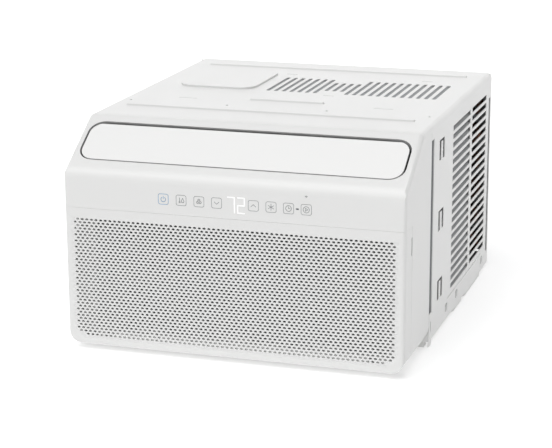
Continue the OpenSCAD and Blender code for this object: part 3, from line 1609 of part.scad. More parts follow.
module control_box() {
  z0 = shelf_z + front_wall;
  color("whitesmoke") difference() {
    translate([-board_w / 2 - 3, board_y + board_t, z0]) cube([board_w + 6, 14, board_h + 3]);
    translate([-board_w / 2 + 2, board_y - past, z0 + 2]) cube([board_w - 4, 13 + past, board_h]);
  }
}

module control_board() {
  color("darkgreen") {
    translate([-board_w / 2, board_y, board_z]) cube([board_w, board_t, board_h]);
    translate([60, board_y + board_t, board_z + 4]) cube([14, 3, 14]);
    translate([-90, board_y + board_t, board_z + 6]) cube([40, 8, 12]);
  }
}

// Springs that carry the touch keys' signal from the fascia to the board
module touch_springs() {
  color("silver") for (x = x_keys) translate([x, fascia_y, keys_z]) rotate([-90, 0, 0])
    bored(spring_d - 2, board_gap) cylinder(d = spring_d, h = board_gap);
}

module display_module() {
  color("black")
    translate([display_x - display_w / 2, fascia_y + fit_gap, keys_z - display_h / 2])
      cube([display_w, board_gap - fit_gap, display_h]);
}

// Bushing of the power inlet
module power_gland() {
  len = front_wall + 9;
  color("black") translate([-half_w, gland_y, gland_z]) rotate([0, 90, 0]) bored(gland_bore, len) {
    cylinder(d = gland_d, h = len);
    translate([0, 0, front_wall]) cylinder(d = gland_d + 5, h = 2);
  }
}

cabinet();
side_channels();
base_pan();
drain_plug();
front_panel();
front_panel_screws();
outlet_duct();
louvre_flap();
flap_pins();
flap_motor();
vane(0);  // vane_1
vane(1);  // vane_2
vane(2);  // vane_3
vane(3);  // vane_4
vane(4);  // vane_5
vane(5);  // vane_6
vane(6);  // vane_7
vane(7);  // vane_8
vane(8);  // vane_9
vane(9);  // vane_10
vane_bar(0);  // left_vane_bar
vane_bar(gang_count);  // right_vane_bar
intake_grille();
grille_pins();
filter_frame();
filter_mesh();
evaporator_fins();
evaporator_tubes();
evaporator_plates();
condenser_fins();
condenser_tubes();
condenser_plates();
rear_screws();
bulkhead();
blower_housing();
inlet_ring();
blower_wheel();
blower_nut();
motor_shaft();
fan_motor();
motor_bracket();
condenser_fan();
fan_nut();
fan_shroud();
compressor();
compressor_grommets();
compressor_nuts();
terminal_cover();
accumulator();
discharge_pipe();
suction_pipe();
liquid_pipe();
run_capacitor();
control_box();
control_board();
touch_springs();
display_module();
power_gland();
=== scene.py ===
# Window air conditioner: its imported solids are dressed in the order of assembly.
import json
import math

import bmesh
import bpy
from mathutils import Matrix, Vector

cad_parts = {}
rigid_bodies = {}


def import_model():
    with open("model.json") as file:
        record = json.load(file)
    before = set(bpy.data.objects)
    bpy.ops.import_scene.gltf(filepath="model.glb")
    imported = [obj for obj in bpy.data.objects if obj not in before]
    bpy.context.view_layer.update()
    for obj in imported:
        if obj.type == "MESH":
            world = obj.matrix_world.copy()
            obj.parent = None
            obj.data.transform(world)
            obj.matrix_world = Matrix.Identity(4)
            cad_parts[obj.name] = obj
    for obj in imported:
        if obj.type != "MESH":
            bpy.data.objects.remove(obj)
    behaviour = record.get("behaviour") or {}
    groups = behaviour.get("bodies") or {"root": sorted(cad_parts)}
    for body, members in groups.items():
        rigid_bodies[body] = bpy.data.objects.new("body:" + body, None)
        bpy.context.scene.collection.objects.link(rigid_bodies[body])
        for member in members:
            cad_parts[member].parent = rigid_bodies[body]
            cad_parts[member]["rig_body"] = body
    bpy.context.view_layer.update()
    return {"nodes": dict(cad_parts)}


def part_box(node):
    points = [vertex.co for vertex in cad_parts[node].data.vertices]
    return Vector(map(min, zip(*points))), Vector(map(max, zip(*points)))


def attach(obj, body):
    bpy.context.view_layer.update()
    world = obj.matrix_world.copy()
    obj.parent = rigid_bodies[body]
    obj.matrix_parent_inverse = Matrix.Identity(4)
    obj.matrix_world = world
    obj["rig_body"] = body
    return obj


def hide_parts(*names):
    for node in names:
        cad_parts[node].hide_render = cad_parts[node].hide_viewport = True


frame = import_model()
nodes = frame["nodes"]


# ---- Where it stands: camera, pale floor, soft daylight ----
# A long lens from the right and a little above, as in a catalogue view. The floor sweeps up
# behind the unit without an edge, and one very wide light leaves hardly any shadow.
azimuth, elevation, roll = (math.radians(turn) for turn in (17.667, 15.155, -0.311))
back = Vector((math.sin(azimuth) * math.cos(elevation), -math.cos(azimuth) * math.cos(elevation),
               math.sin(elevation)))
level = Vector((math.cos(azimuth), math.sin(azimuth), 0))
right = level * math.cos(roll) + back.cross(level) * math.sin(roll)
camera = bpy.data.objects.new("camera", bpy.data.cameras.new("camera"))
camera.data.lens = 117.65
camera.data.sensor_width = 36
camera.data.clip_end = 50
camera.matrix_world = Matrix((right, back.cross(right), back)).transposed().to_4x4()
camera.location = (0.761, -2.469, 0.825)
bpy.context.scene.collection.objects.link(camera)
bpy.context.scene.camera = camera
bpy.context.scene.view_settings.view_transform = "Standard"


def linear(code):
    """Linear colour of an sRGB hex value."""
    parts = [int(code[i:i + 2], 16) / 255 for i in (1, 3, 5)]
    return [c / 12.92 if c <= 0.04045 else ((c + 0.055) / 1.055) ** 2.4 for c in parts] + [1]


def add(tree, kind, links=None, values=None, **settings):
    """A shader node with its settings, its values and the sockets that feed it."""
    node = tree.nodes.new("ShaderNode" + kind)
    for name, value in settings.items():
        setattr(node, name, value)
    for name, value in (values or {}).items():
        node.inputs[name].default_value = value
    for name, socket in (links or {}).items():
        tree.links.new(socket, node.inputs[name])
    return node


def finish(name, code, **values):
    """A material with one Principled surface: it, its tree, that surface and the place on it."""
    made = bpy.data.materials.new(name)
    made.use_nodes = True
    tree = made.node_tree
    tree.nodes.clear()
    surface = add(tree, "BsdfPrincipled", values={"Base Color": linear(code)})
    for key, value in values.items():
        surface.inputs[key.replace("_", " ")].default_value = value
    add(tree, "OutputMaterial", links={"Surface": surface.outputs[0]})
    return made, tree, surface, add(tree, "TexCoord").outputs["Object"]


def settle(bm, name, material, body=None, smooth=False):
    """The finished mesh as an object that rides on a body."""
    mesh = bpy.data.meshes.new(name)
    bm.to_mesh(mesh)
    bm.free()
    mesh.materials.append(material)
    if smooth:
        sharpest = math.radians(28)
        mesh.polygons.foreach_set("use_smooth", [True] * len(mesh.polygons))
        mesh.set_sharp_from_angle(angle=sharpest)
    piece = bpy.data.objects.new(name, mesh)
    bpy.context.scene.collection.objects.link(piece)
    if body:
        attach(piece, body)
    return piece


def points_in(geom):
    """The points among what an operator made."""
    return [g for g in geom if isinstance(g, bmesh.types.BMVert)]


floor_half, floor_end, bend_radius, wall_height = 12, 4, 2.5, 5
bm = bmesh.new()
bmesh.ops.create_grid(bm, x_segments=1, y_segments=1, size=floor_half)
far = [e for e in bm.edges if all(v.co.y > 0 for v in e.verts)]
bmesh.ops.translate(bm, vec=(0, floor_end - floor_half, 0), verts=far[0].verts)
sweep = bmesh.ops.spin(bm, geom=far, cent=(0, floor_end, bend_radius), axis=(1, 0, 0),
                       angle=math.pi / 2, steps=24)
wall = [e for e in sweep["geom_last"] if isinstance(e, bmesh.types.BMEdge)]
wall = bmesh.ops.extrude_edge_only(bm, edges=wall)["geom"]
bmesh.ops.translate(bm, vec=(0, 0, wall_height), verts=points_in(wall))
bmesh.ops.recalc_face_normals(bm, faces=bm.faces)

# Matte paper that glows a little, so that it stays near white under the unit too.
paper, tree, surface, place = finish("matte_white_backdrop_paper", "#DCDCDC", Roughness=0.9,
                                     Emission_Color=linear("#FFFFFF"), Emission_Strength=0.42)
fibre = add(tree, "TexNoise", {"Vector": place}, {"Scale": 900, "Detail": 2})
bump = add(tree, "Bump", {"Height": fibre.outputs["Fac"]}, {"Strength": 0.05, "Distance": 0.0002})
tree.links.new(bump.outputs[0], surface.inputs["Normal"])
settle(bm, "backdrop", paper, smooth=True)

world = bpy.data.worlds.new("soft_room")
world.use_nodes = True
world.node_tree.nodes["Background"].inputs["Color"].default_value = linear("#FCFDFF")
world.node_tree.nodes["Background"].inputs["Strength"].default_value = 0.13
bpy.context.scene.world = world

# One very wide light from above and a little in front, like a ceiling of diffusers.
towards_light = Vector((-0.1, -0.42, 0.90))
ceiling = bpy.data.objects.new("soft_ceiling", bpy.data.lights.new("soft_ceiling", "SUN"))
ceiling.data.angle = math.radians(60)
ceiling.data.energy = 2.6
ceiling.rotation_mode = "QUATERNION"
ceiling.rotation_quaternion = towards_light.to_track_quat("Z", "Y")
bpy.context.scene.collection.objects.link(ceiling)


# ---- Base pan and its drain plug ----
# Pressed from galvanised sheet with a baked white coat. Four skids and the sill rib are drawn
# down from it, and a rubber plug closes the drain at the rear.
def merged(node):
    """A copy of a solid's mesh with its triangles merged back into flat faces."""
    weld, flat = 2e-6, math.radians(0.6)
    bm = bmesh.new()
    bm.from_mesh(nodes[node].data)
    bmesh.ops.remove_doubles(bm, verts=bm.verts, dist=weld)
    bmesh.ops.dissolve_limit(bm, angle_limit=flat, verts=bm.verts, edges=bm.edges)
    return bm


def softened(node, name, material, edge=0.0):
    """A merged copy of a solid in its stead, its sharp edges rounded where a radius is given."""
    bm = merged(node)
    if edge:
        bluntest = math.radians(40)
        sharp = [e for e in bm.edges if e.is_manifold and e.calc_face_angle() > bluntest]
        bmesh.ops.bevel(bm, geom=sharp, offset=edge, offset_type="OFFSET", segments=2, profile=0.5,
                        affect="EDGES", clamp_overlap=True, material=-1)
    piece = settle(bm, name, material, nodes[node]["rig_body"], smooth=True)
    piece.modifiers.new("flat_faces", "WEIGHTED_NORMAL").keep_sharp = True
    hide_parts(node)
    return piece


def everything(bm):
    """All of a mesh, as the operators take it."""
    return bm.verts[:] + bm.edges[:] + bm.faces[:]


def in_slot(spot):
    """True for a point of the pan's upright lips that lies in one of the hook slots."""
    beside = any(start < spot.y < start + slot_w for start in slot_starts)
    return beside and abs(spot.x) > lip_x and slot_low < spot.z < slot_high


# Baked polyester on steel: satin, with an orange peel about 2 mm across and slow waves in the
# sheet that only show at a glance.
coat, tree, surface, place = finish("baked_white_coat_on_steel", "#E6E6E5", IOR=1.5)
peel = add(tree, "TexNoise", {"Vector": place}, {"Scale": 520, "Detail": 3, "Roughness": 0.5})
waves = add(tree, "TexNoise", {"Vector": place}, {"Scale": 14, "Detail": 1})
height = add(tree, "Math", {0: peel.outputs["Fac"], 1: waves.outputs["Fac"]}, operation="ADD")
bump = add(tree, "Bump", {"Height": height.outputs[0]}, {"Strength": 0.12, "Distance": 0.0003})
tree.links.new(bump.outputs[0], surface.inputs["Normal"])
sheen = add(tree, "MapRange", {"Value": waves.outputs["Fac"]}, {"To Min": 0.32, "To Max": 0.42})
tree.links.new(sheen.outputs[0], surface.inputs["Roughness"])
pan = softened("base_pan", "pressed_base_pan", coat, edge=0.0004)

# Three slots in each side lip lie behind the cabinet's low hooks.
slot_starts, slot_w = (-0.032, 0.038, 0.224), 0.014
slot_low, slot_high, lip_t = 0.019, 0.031, 0.0015
lip_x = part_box("base_pan")[1].x - lip_t
bm = bmesh.new()
bm.from_mesh(pan.data)
cuts = [((0, start + end, 0), (0, 1, 0)) for start in slot_starts for end in (0, slot_w)]
cuts += [((0, 0, height), (0, 0, 1)) for height in (slot_low, slot_high)]
for spot, way in cuts:
    bmesh.ops.bisect_plane(bm, geom=everything(bm), plane_co=spot, plane_no=way)
slots = [f for f in bm.faces if in_slot(f.calc_center_median())]
bmesh.ops.delete(bm, geom=slots, context="FACES")
bm.to_mesh(pan.data)
bm.free()

# EPDM rubber: nearly black, dull, with a grey bloom in patches.
rubber, tree, surface, place = finish("moulded_epdm_rubber", "#232425", Roughness=0.75, IOR=1.52)
bloom = add(tree, "TexNoise", {"Vector": place}, {"Scale": 300, "Detail": 4})
tint = add(tree, "ValToRGB", {"Fac": bloom.outputs["Fac"]})
tint.color_ramp.elements[0].color = linear("#1C1D1E")
tint.color_ramp.elements[1].color = linear("#313335")
tree.links.new(tint.outputs["Color"], surface.inputs["Base Color"])
softened("drain_plug", "drain_plug_rubber", rubber)


# ---- Compressor, accumulator and their fittings ----
# A drawn steel shell dipped in black paint stands on three rubber grommets over the pan's
# studs. The accumulator is strapped to it, and a nylon cap covers its terminals.

# Dipped paint runs a little and pools, which gives a glossy skin with slow waves.
black_paint, tree, surface, place = finish("dipped_black_paint", "#131416", Roughness=0.28, IOR=1.5)
runs = add(tree, "TexNoise", {"Vector": place}, {"Scale": 90, "Detail": 3})
bump = add(tree, "Bump", {"Height": runs.outputs["Fac"]}, {"Strength": 0.25, "Distance": 0.0006})
tree.links.new(bump.outputs[0], surface.inputs["Normal"])
softened("compressor", "compressor_shell", black_paint)
softened("accumulator", "accumulator_can", black_paint)
softened("compressor_grommets", "compressor_rubber_feet", rubber)

# Zinc-plated steel: bright, slightly blue, rubbed dull in spots.
plated, tree, surface, place = finish("zinc_plated_steel", "#B9BDC1", Metallic=1)
rubbed = add(tree, "TexNoise", {"Vector": place}, {"Scale": 700, "Detail": 2})
shine = add(tree, "MapRange", {"Value": rubbed.outputs["Fac"]}, {"To Min": 0.25, "To Max": 0.45})
tree.links.new(shine.outputs[0], surface.inputs["Roughness"])
softened("compressor_nuts", "compressor_flange_nuts", plated)

# Glass-filled nylon: black, satin, faintly mottled by the fibres.
black_nylon, tree, surface, place = finish("moulded_glass_filled_nylon", "#1B1C1E",
                                           Roughness=0.5, IOR=1.53)
fibres = add(tree, "TexNoise", {"Vector": place}, {"Scale": 1100, "Detail": 2})
bump = add(tree, "Bump", {"Height": fibres.outputs["Fac"]}, {"Strength": 0.2, "Distance": 0.0002})
tree.links.new(bump.outputs[0], surface.inputs["Normal"])
softened("terminal_cover", "compressor_terminal_cap", black_nylon, edge=0.0006)

# A drawn aluminium can with a fine lengthwise grain.
can, tree, surface, place = finish("drawn_aluminium_can", "#BFC2C5", Metallic=1)
drawn = add(tree, "Mapping", {"Vector": place}, {"Scale": (900, 900, 30)})
lines = add(tree, "TexNoise", {"Vector": drawn.outputs[0]}, {"Scale": 1, "Detail": 2})
shine = add(tree, "MapRange", {"Value": lines.outputs["Fac"]}, {"To Min": 0.28, "To Max": 0.48})
tree.links.new(shine.outputs[0], surface.inputs["Roughness"])
softened("run_capacitor", "run_capacitor_can", can)


# ---- Condenser at the rear ----
# Aluminium fins pressed on copper hairpins between two zinc-coated plates. The real fins stand
# 1.6 mm apart; here they stand 2.4 mm apart, which still reads as fins in a small render.
def strip(bm, size, middle, tilt=0.0):
    """A flat strip of a given size, tilted about its depth, with its middle at a point."""
    points = bmesh.ops.create_cube(bm, size=1)["verts"]
    bmesh.ops.scale(bm, vec=size, verts=points)
    bmesh.ops.rotate(bm, matrix=Matrix.Rotation(tilt, 3, "Y"), verts=points)
    bmesh.ops.translate(bm, vec=middle, verts=points)


def in_a_row(bm, count, step):
    """Copies of what the mesh holds, each one step further on than the last."""
    first = everything(bm)
    for i in range(1, count):
        copy = bmesh.ops.duplicate(bm, geom=first)["geom"]
        bmesh.ops.translate(bm, vec=[i * way for way in step], verts=points_in(copy))


def fin_pack(node, name, material):
    """Thin upright fins that fill the place of a coarse fin pack."""
    low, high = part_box(node)
    middle = (low + high) / 2
    gaps = round((high.x - low.x - fin_t) / fin_pitch)
    step = (high.x - low.x - fin_t) / gaps
    bm = bmesh.new()
    strip(bm, (fin_t, high.y - low.y, high.z - low.z), (low.x + fin_t / 2, middle.y, middle.z))
    in_a_row(bm, gaps + 1, (step, 0, 0))
    piece = settle(bm, name, material, "case")
    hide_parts(node)


def tube_runs(node, name, material, rows):
    """Straight tubes through a coil, in the rows that its return bends join."""
    low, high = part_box(node)
    bm = bmesh.new()
    for share in tube_layers:
        for row in range(rows):
            spot = (0, low.y + share * (high.y - low.y), lowest_tube + row * tube_pitch)
            tube = bmesh.ops.create_cone(bm, cap_ends=True, segments=14, radius1=tube_r,
                                         radius2=tube_r, depth=high.x - low.x + past_fins)["verts"]
            bmesh.ops.rotate(bm, matrix=Matrix.Rotation(math.pi / 2, 3, "Y"), verts=tube)
            bmesh.ops.translate(bm, vec=spot, verts=tube)
    settle(bm, name, material, "case", smooth=True)


# Bare rolled aluminium: bright grey, streaked along the roll, a little uneven from fin to fin.
aluminium, tree, surface, place = finish("rolled_fin_aluminium", "#C9CDD1",
                                         Metallic=1, Roughness=0.42)
rolled = add(tree, "Mapping", {"Vector": place}, {"Scale": (900, 900, 25)})
streaks = add(tree, "TexNoise", {"Vector": rolled.outputs[0]}, {"Scale": 1, "Detail": 2})
tint = add(tree, "ValToRGB", {"Fac": streaks.outputs["Fac"]})
tint.color_ramp.elements[0].color = linear("#A9AEB3")
tint.color_ramp.elements[1].color = linear("#DADDE0")
tree.links.new(tint.outputs["Color"], surface.inputs["Base Color"])

# Drawn copper, darkened all over as painted shade for the tubes seen deep in the case, and
# browner in patches where hands and heat have been.
copper, tree, surface, place = finish("drawn_copper_darkened_as_shade", "#6E4634", Metallic=1, Roughness=0.3)
patches = add(tree, "TexNoise", {"Vector": place}, {"Scale": 60, "Detail": 4})
tint = add(tree, "ValToRGB", {"Fac": patches.outputs["Fac"]})
tint.color_ramp.elements[0].color = linear("#382A24")
tint.color_ramp.elements[0].position = 0.35
tint.color_ramp.elements[1].color = linear("#6B4A3C")
tint.color_ramp.elements[1].position = 0.62
tree.links.new(tint.outputs["Color"], surface.inputs["Base Color"])

# Bare zinc freezes on the sheet in crystals 6 to 10 mm across, each a slightly different grey.
zinc, tree, surface, place = finish("spangled_zinc_on_steel", "#A9ACAD", Metallic=1, Roughness=0.45)
crystals = add(tree, "TexVoronoi", {"Vector": place}, {"Scale": 130})
tint = add(tree, "ValToRGB", {"Fac": crystals.outputs["Color"]})
tint.color_ramp.elements[0].color = linear("#8F9294")
tint.color_ramp.elements[1].color = linear("#C4C7C8")
tree.links.new(tint.outputs["Color"], surface.inputs["Base Color"])

fin_pitch, fin_t = 0.0024, 0.0004
tube_r, tube_pitch, lowest_tube = 0.004, 0.022, 0.0375
tube_layers, past_fins = (0.25, 0.75), 0.0024
fin_pack("condenser_fins", "condenser_fin_pack", aluminium)
tube_runs("condenser_fins", "condenser_tube_runs", copper, rows=12)
softened("condenser_tubes", "condenser_return_bends", copper)
softened("condenser_plates", "condenser_end_plates", zinc)

# Closed-cell foam tape: mid-grey and dull, with cells about 1 mm across. Its grey strips stand
# behind the widened rear slots as painted shade.
painted_shade_foam, tree, surface, place = finish("grey_foam_as_painted_shade", "#77797B", Roughness=0.9, IOR=1.4)
cells = add(tree, "TexVoronoi", {"Vector": place}, {"Scale": 1000})
bump = add(tree, "Bump", {"Height": cells.outputs["Distance"]},
           {"Strength": 0.4, "Distance": 0.0002})
tree.links.new(bump.outputs[0], surface.inputs["Normal"])
seal_y, seal_w, seal_t, seal_gap, seal_edge = 0.2555, 0.0205, 0.0016, 0.015, 0.0004
low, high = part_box("condenser_plates")
bm = bmesh.new()
for side in (-1, 1):
    strip(bm, (seal_t, seal_w, high.z - low.z - 2 * seal_gap),
          (side * (high.x + seal_t / 2), seal_y + seal_w / 2, (low.z + high.z) / 2))
bmesh.ops.bevel(bm, geom=bm.edges[:], offset=seal_edge, offset_type="OFFSET", segments=2,
                profile=0.5, affect="EDGES", material=-1)
settle(bm, "condenser_foam_seals", painted_shade_foam, "case", smooth=True)

for pipe in ("discharge_pipe", "suction_pipe", "liquid_pipe"):
    softened(pipe, pipe + "_copper", copper)


# ---- Bulkhead, blower housing and its ring ----
# The bulkhead is bent sheet that parts the room side from the outdoor side. Its grey coat is
# painted shade, dark where it shows through the side pockets. The scroll and the inlet ring are
# steam-moulded foam pushed against it.
def bead_foam(name, code, **values):
    """Steam-moulded polystyrene: beads swell to 3 or 4 mm and meet in a net of fine lines."""
    made, tree, surface, place = finish(name, code, **values)
    beads = add(tree, "TexVoronoi", {"Vector": place}, {"Scale": 280}, feature="DISTANCE_TO_EDGE")
    joints = add(tree, "MapRange", {"Value": beads.outputs["Distance"]}, {"From Max": 0.12})
    bump = add(tree, "Bump", {"Height": joints.outputs[0]}, {"Strength": 0.4, "Distance": 0.0005})
    tree.links.new(bump.outputs[0], surface.inputs["Normal"])
    return made, tree, surface, joints


# Grey baked coat on the inner sheet parts, darkened as painted shade where it shows through
# louvres and pockets: dull, with a fine orange peel.
painted_shade_grey, tree, surface, place = finish("painted_shade_grey_coat_on_steel", "#9A9C9E",
                                         Roughness=0.5, IOR=1.5)
peel = add(tree, "TexNoise", {"Vector": place}, {"Scale": 520, "Detail": 3})
bump = add(tree, "Bump", {"Height": peel.outputs["Fac"]}, {"Strength": 0.12, "Distance": 0.0003})
tree.links.new(bump.outputs[0], surface.inputs["Normal"])
softened("bulkhead", "sheet_bulkhead", painted_shade_grey, edge=0.0003)

# Bare foam is off-white, and the lines between its beads are a little darker.
foam, tree, surface, joints = bead_foam("steam_moulded_polystyrene", "#F0EFEA",
                                        Roughness=0.7, IOR=1.3)
tint = add(tree, "ValToRGB", {"Fac": joints.outputs[0]})
tint.color_ramp.elements[0].color = linear("#DEDCD6")
tint.color_ramp.elements[1].color = linear("#F3F2EE")
tree.links.new(tint.outputs["Color"], surface.inputs["Base Color"])
softened("blower_housing", "foam_blower_scroll", foam, edge=0.0008)
softened("inlet_ring", "foam_inlet_ring", foam)


# ---- Fan motor, fans and shroud ----
# One motor with a shaft out of each end drives the blower wheel and the condenser fan. It sits
# in a pressed saddle, and a moulded shroud round the fan carries its air to the coil.

# Talc-filled polypropylene: mid-grey, satin, with faint flow marks.
pp_grey, tree, surface, place = finish("moulded_grey_polypropylene", "#7D8185",
                                       Roughness=0.5, IOR=1.49)
flow = add(tree, "TexNoise", {"Vector": place}, {"Scale": 200, "Detail": 2})
bump = add(tree, "Bump", {"Height": flow.outputs["Fac"]}, {"Strength": 0.1, "Distance": 0.0002})
tree.links.new(bump.outputs[0], surface.inputs["Normal"])
softened("motor_bracket", "motor_saddle", zinc, edge=0.0003)
softened("fan_motor", "fan_motor_shell", black_paint)
softened("motor_shaft", "ground_motor_shaft", plated)
softened("blower_wheel", "moulded_blower_wheel", black_nylon)
softened("condenser_fan", "moulded_condenser_fan", black_nylon)
softened("blower_nut", "blower_shaft_nut", plated)
softened("fan_nut", "fan_shaft_nut", plated)
softened("fan_shroud", "moulded_fan_shroud", pp_grey, edge=0.0005)


# ---- Evaporator ----
# The same fins and hairpins as the condenser, in a thinner and lower block behind the filter.
fin_pack("evaporator_fins", "evaporator_fin_pack", aluminium)
tube_runs("evaporator_fins", "evaporator_tube_runs", copper, rows=8)
softened("evaporator_tubes", "evaporator_return_bends", copper)
softened("evaporator_plates", "evaporator_end_plates", zinc)


# ---- Cabinet ----
# One wrap of coated sheet over the chassis, pressed with beads and a raised pad, lanced with
# louvres and tabbed slots, and screwed to the pan's rear lip. Channels for the side curtains
# are riveted inside its front edges.
cabinet = softened("cabinet", "pressed_cabinet", coat, edge=0.0003)
sheet, sheet_top = 0.0012, 0.315
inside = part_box("cabinet")[1].x - sheet
louvre_count, louvre_pitch, louvre_h, lowest_louvre = 20, 0.01235, 0.006, 0.046
front_column, rear_column = (0.002, 0.123), (0.136, 0.243)
rear_slot_y, rear_slot_z = (0.266, 0.269), (0.028, 0.290)
hanging, louvre_z = (0.0035, 0.0085), (0.04, 0.30)
edge_reach, end_room, touch = 0.0007, 0.001, 1e-4
below, above = 0.1, 0.6
lip_down, lip_up = 0.0006, 0.0010
slot_forward, slot_back = 0.0035, 0.0055
bead_growth = 1.5


def hangs(face):
    """True for a face of the blades that hang inside the front column of louvres."""
    spots = [v.co for v in face.verts]
    within = all(front_column[0] - end_room < s.y < front_column[1] + end_room for s in spots)
    return within and any(hanging[0] < inside - abs(s.x) < hanging[1]
                          and louvre_z[0] < s.z < louvre_z[1] for s in spots)


def in_side(spot):
    """True for a point of the cabinet's side sheets."""
    return abs(spot.x) > inside - touch


# The hanging blades come off, because slanted ones take their place.
bm = bmesh.new()
bm.from_mesh(cabinet.data)
bmesh.ops.delete(bm, geom=[f for f in bm.faces if hangs(f)], context="FACES")
for v in bm.verts:
    # The beads and the pad stand out half as far again.
    if v.co.z > sheet_top + touch:
        v.co.z = sheet_top + (v.co.z - sheet_top) * bead_growth
    # Each louvre opens a little further down and up. A row counts pitches from the lowest one.
    row = (v.co.z - lowest_louvre) / louvre_pitch
    beside = in_side(v.co) and front_column[0] - end_room < v.co.y < rear_column[1] + end_room
    if beside and -below < row < louvre_count - 1 + above:
        up = ((row + below) % 1 - below) * louvre_pitch
        if abs(up) < edge_reach:
            v.co.z -= lip_down
        elif abs(up - louvre_h) < edge_reach:
            v.co.z += lip_up
    # The tall slot at the rear is wider.
    if in_side(v.co) and rear_slot_z[0] < v.co.z < rear_slot_z[1]:
        if abs(v.co.y - rear_slot_y[0]) < edge_reach:
            v.co.y -= slot_forward
        elif abs(v.co.y - rear_slot_y[1]) < edge_reach:
            v.co.y += slot_back
bm.to_mesh(cabinet.data)
bm.free()

# Slanted blades in the front column of louvres, in the grey coat that paints the shade of the
# openings.
blade_reach, blade_t, blade_tilt = 0.0068, 0.0009, math.radians(38)
blade_inset, blade_rise = 0.0024, 0.0012
bm = bmesh.new()
strip(bm, (blade_reach, front_column[1] - front_column[0], blade_t),
      (inside - blade_inset, sum(front_column) / 2, lowest_louvre + blade_rise), blade_tilt)
in_a_row(bm, louvre_count, (0, 0, louvre_pitch))
bmesh.ops.mirror(bm, geom=everything(bm), axis="X", merge_dist=0)
bmesh.ops.recalc_face_normals(bm, faces=bm.faces)
settle(bm, "side_louvre_blades", painted_shade_grey, "case")

# The top vents are one row of slots, shortened in the middle at the front and at the rear.
vent_count, vent_pitch, first_vent = 22, 0.012, -0.052
vent_blade, vent_tilt = 0.0081, math.radians(35)
vent_len, vent_end = 0.110, 0.156
front_notch_x, front_notch_reach, front_notch = 0.044, 0.018, 0.021
rear_notch_x, rear_notch_reach, rear_notch = 0.050, 0.024, 0.024
bm = bmesh.new()
for i in range(vent_count):
    x = first_vent + i * vent_pitch
    start, end = vent_end - vent_len, vent_end
    if abs(x - front_notch_x) < front_notch_reach:
        start += front_notch
    if abs(x - rear_notch_x) < rear_notch_reach:
        end -= rear_notch
    strip(bm, (vent_blade, end - start, blade_t),
          (x, (start + end) / 2, sheet_top - sheet - blade_inset), vent_tilt)
settle(bm, "top_vent_blades", painted_shade_grey, "case")
softened("rear_screws", "rear_pan_head_screws", plated)
softened("side_channels", "curtain_channels", painted_shade_grey, edge=0.0003)


# ---- Outlet duct, vanes and tie bars ----
# The duct is the same foam with a dark coat, so that it doesn't glare between the vanes. Ten
# upright vanes of white polypropylene turn in it, five to a tie bar.
dark_foam = bead_foam("dark_coated_polystyrene", "#3A3C3E", Roughness=0.8, IOR=1.4)[0]
softened("outlet_duct", "coated_outlet_duct", dark_foam)

# Moulded polypropylene: soft satin with faint flow marks.
vane_white, tree, surface, place = finish("moulded_white_polypropylene", "#D9DADA",
                                          Roughness=0.4, IOR=1.49)
flow = add(tree, "TexNoise", {"Vector": place}, {"Scale": 200, "Detail": 1})
bump = add(tree, "Bump", {"Height": flow.outputs["Fac"]}, {"Strength": 0.1, "Distance": 0.0002})
tree.links.new(bump.outputs[0], surface.inputs["Normal"])
vane_count = 10
for i in range(1, vane_count + 1):
    softened("vane_%d" % i, "air_vane_%d" % i, vane_white, edge=0.0003)
softened("left_vane_bar", "left_tie_bar", vane_white)
softened("right_vane_bar", "right_tie_bar", vane_white)


# ---- Plastic front ----
# One ABS moulding makes the fascia, the sloped outlet face and the sides back to the cabinet.
# Four screws hold it to the evaporator's end plates, and a rubber bushing lines its power inlet.
def moulded_abs(name, code, scale, strength, depth, shiniest, dullest):
    """Moulded ABS, whose gloss and height both follow the grain of the mould."""
    made, tree, surface, place = finish(name, code, IOR=1.54)
    grain = add(tree, "TexNoise", {"Vector": place}, {"Scale": scale, "Detail": 2})
    bump = add(tree, "Bump", {"Height": grain.outputs["Fac"]},
               {"Strength": strength, "Distance": depth})
    tree.links.new(bump.outputs[0], surface.inputs["Normal"])
    gloss = add(tree, "MapRange", {"Value": grain.outputs["Fac"]},
                {"To Min": shiniest, "To Max": dullest})
    tree.links.new(gloss.outputs[0], surface.inputs["Roughness"])
    return made


# The mould is spark-eroded, so the skin is satin with a grain of about 0.7 mm.
abs_white = moulded_abs("spark_textured_white_abs", "#E6E6E5", scale=1500, strength=0.12,
                        depth=0.00015, shiniest=0.36, dullest=0.48)
softened("front_panel", "moulded_front", abs_white)
softened("front_panel_screws", "front_pan_head_screws", plated)
softened("power_gland", "power_inlet_bushing", rubber)


# ---- Flap ----
# A shallow ABS lid with a smoother skin than the front. It turns on a pin at the left and on
# the square shaft of a small stepper motor at the right.
flap_white = moulded_abs("smooth_white_abs", "#F1F1F0", scale=1200, strength=0.05,
                         depth=0.0001, shiniest=0.27, dullest=0.36)
softened("louvre_flap", "outlet_flap", flap_white, edge=0.0003)
softened("flap_pins", "flap_pivots", plated)
softened("flap_motor", "flap_stepper_motor", plated, edge=0.0003)


# ---- Controls behind the fascia ----
# A glass-fibre board in a moulded box, with a spring behind each touch key and a display that
# shines through the plastic.
softened("control_box", "moulded_control_box", foam)

# Solder mask: clear green over rows of copper tracks about 1 mm apart.
mask, tree, surface, place = finish("green_solder_mask", "#145A36",
                                    Roughness=0.25, IOR=1.5, Coat_Weight=0.4)
tracks = add(tree, "TexBrick", {"Vector": place},
             {"Scale": 300, "Color1": linear("#145A36"), "Color2": linear("#176A40"),
              "Mortar": linear("#0F4A2C")})
tree.links.new(tracks.outputs["Color"], surface.inputs["Base Color"])
softened("control_board", "printed_control_board", mask)
softened("touch_springs", "touch_key_springs", plated)
softened("display_module", "display_block", black_nylon, edge=0.0004)


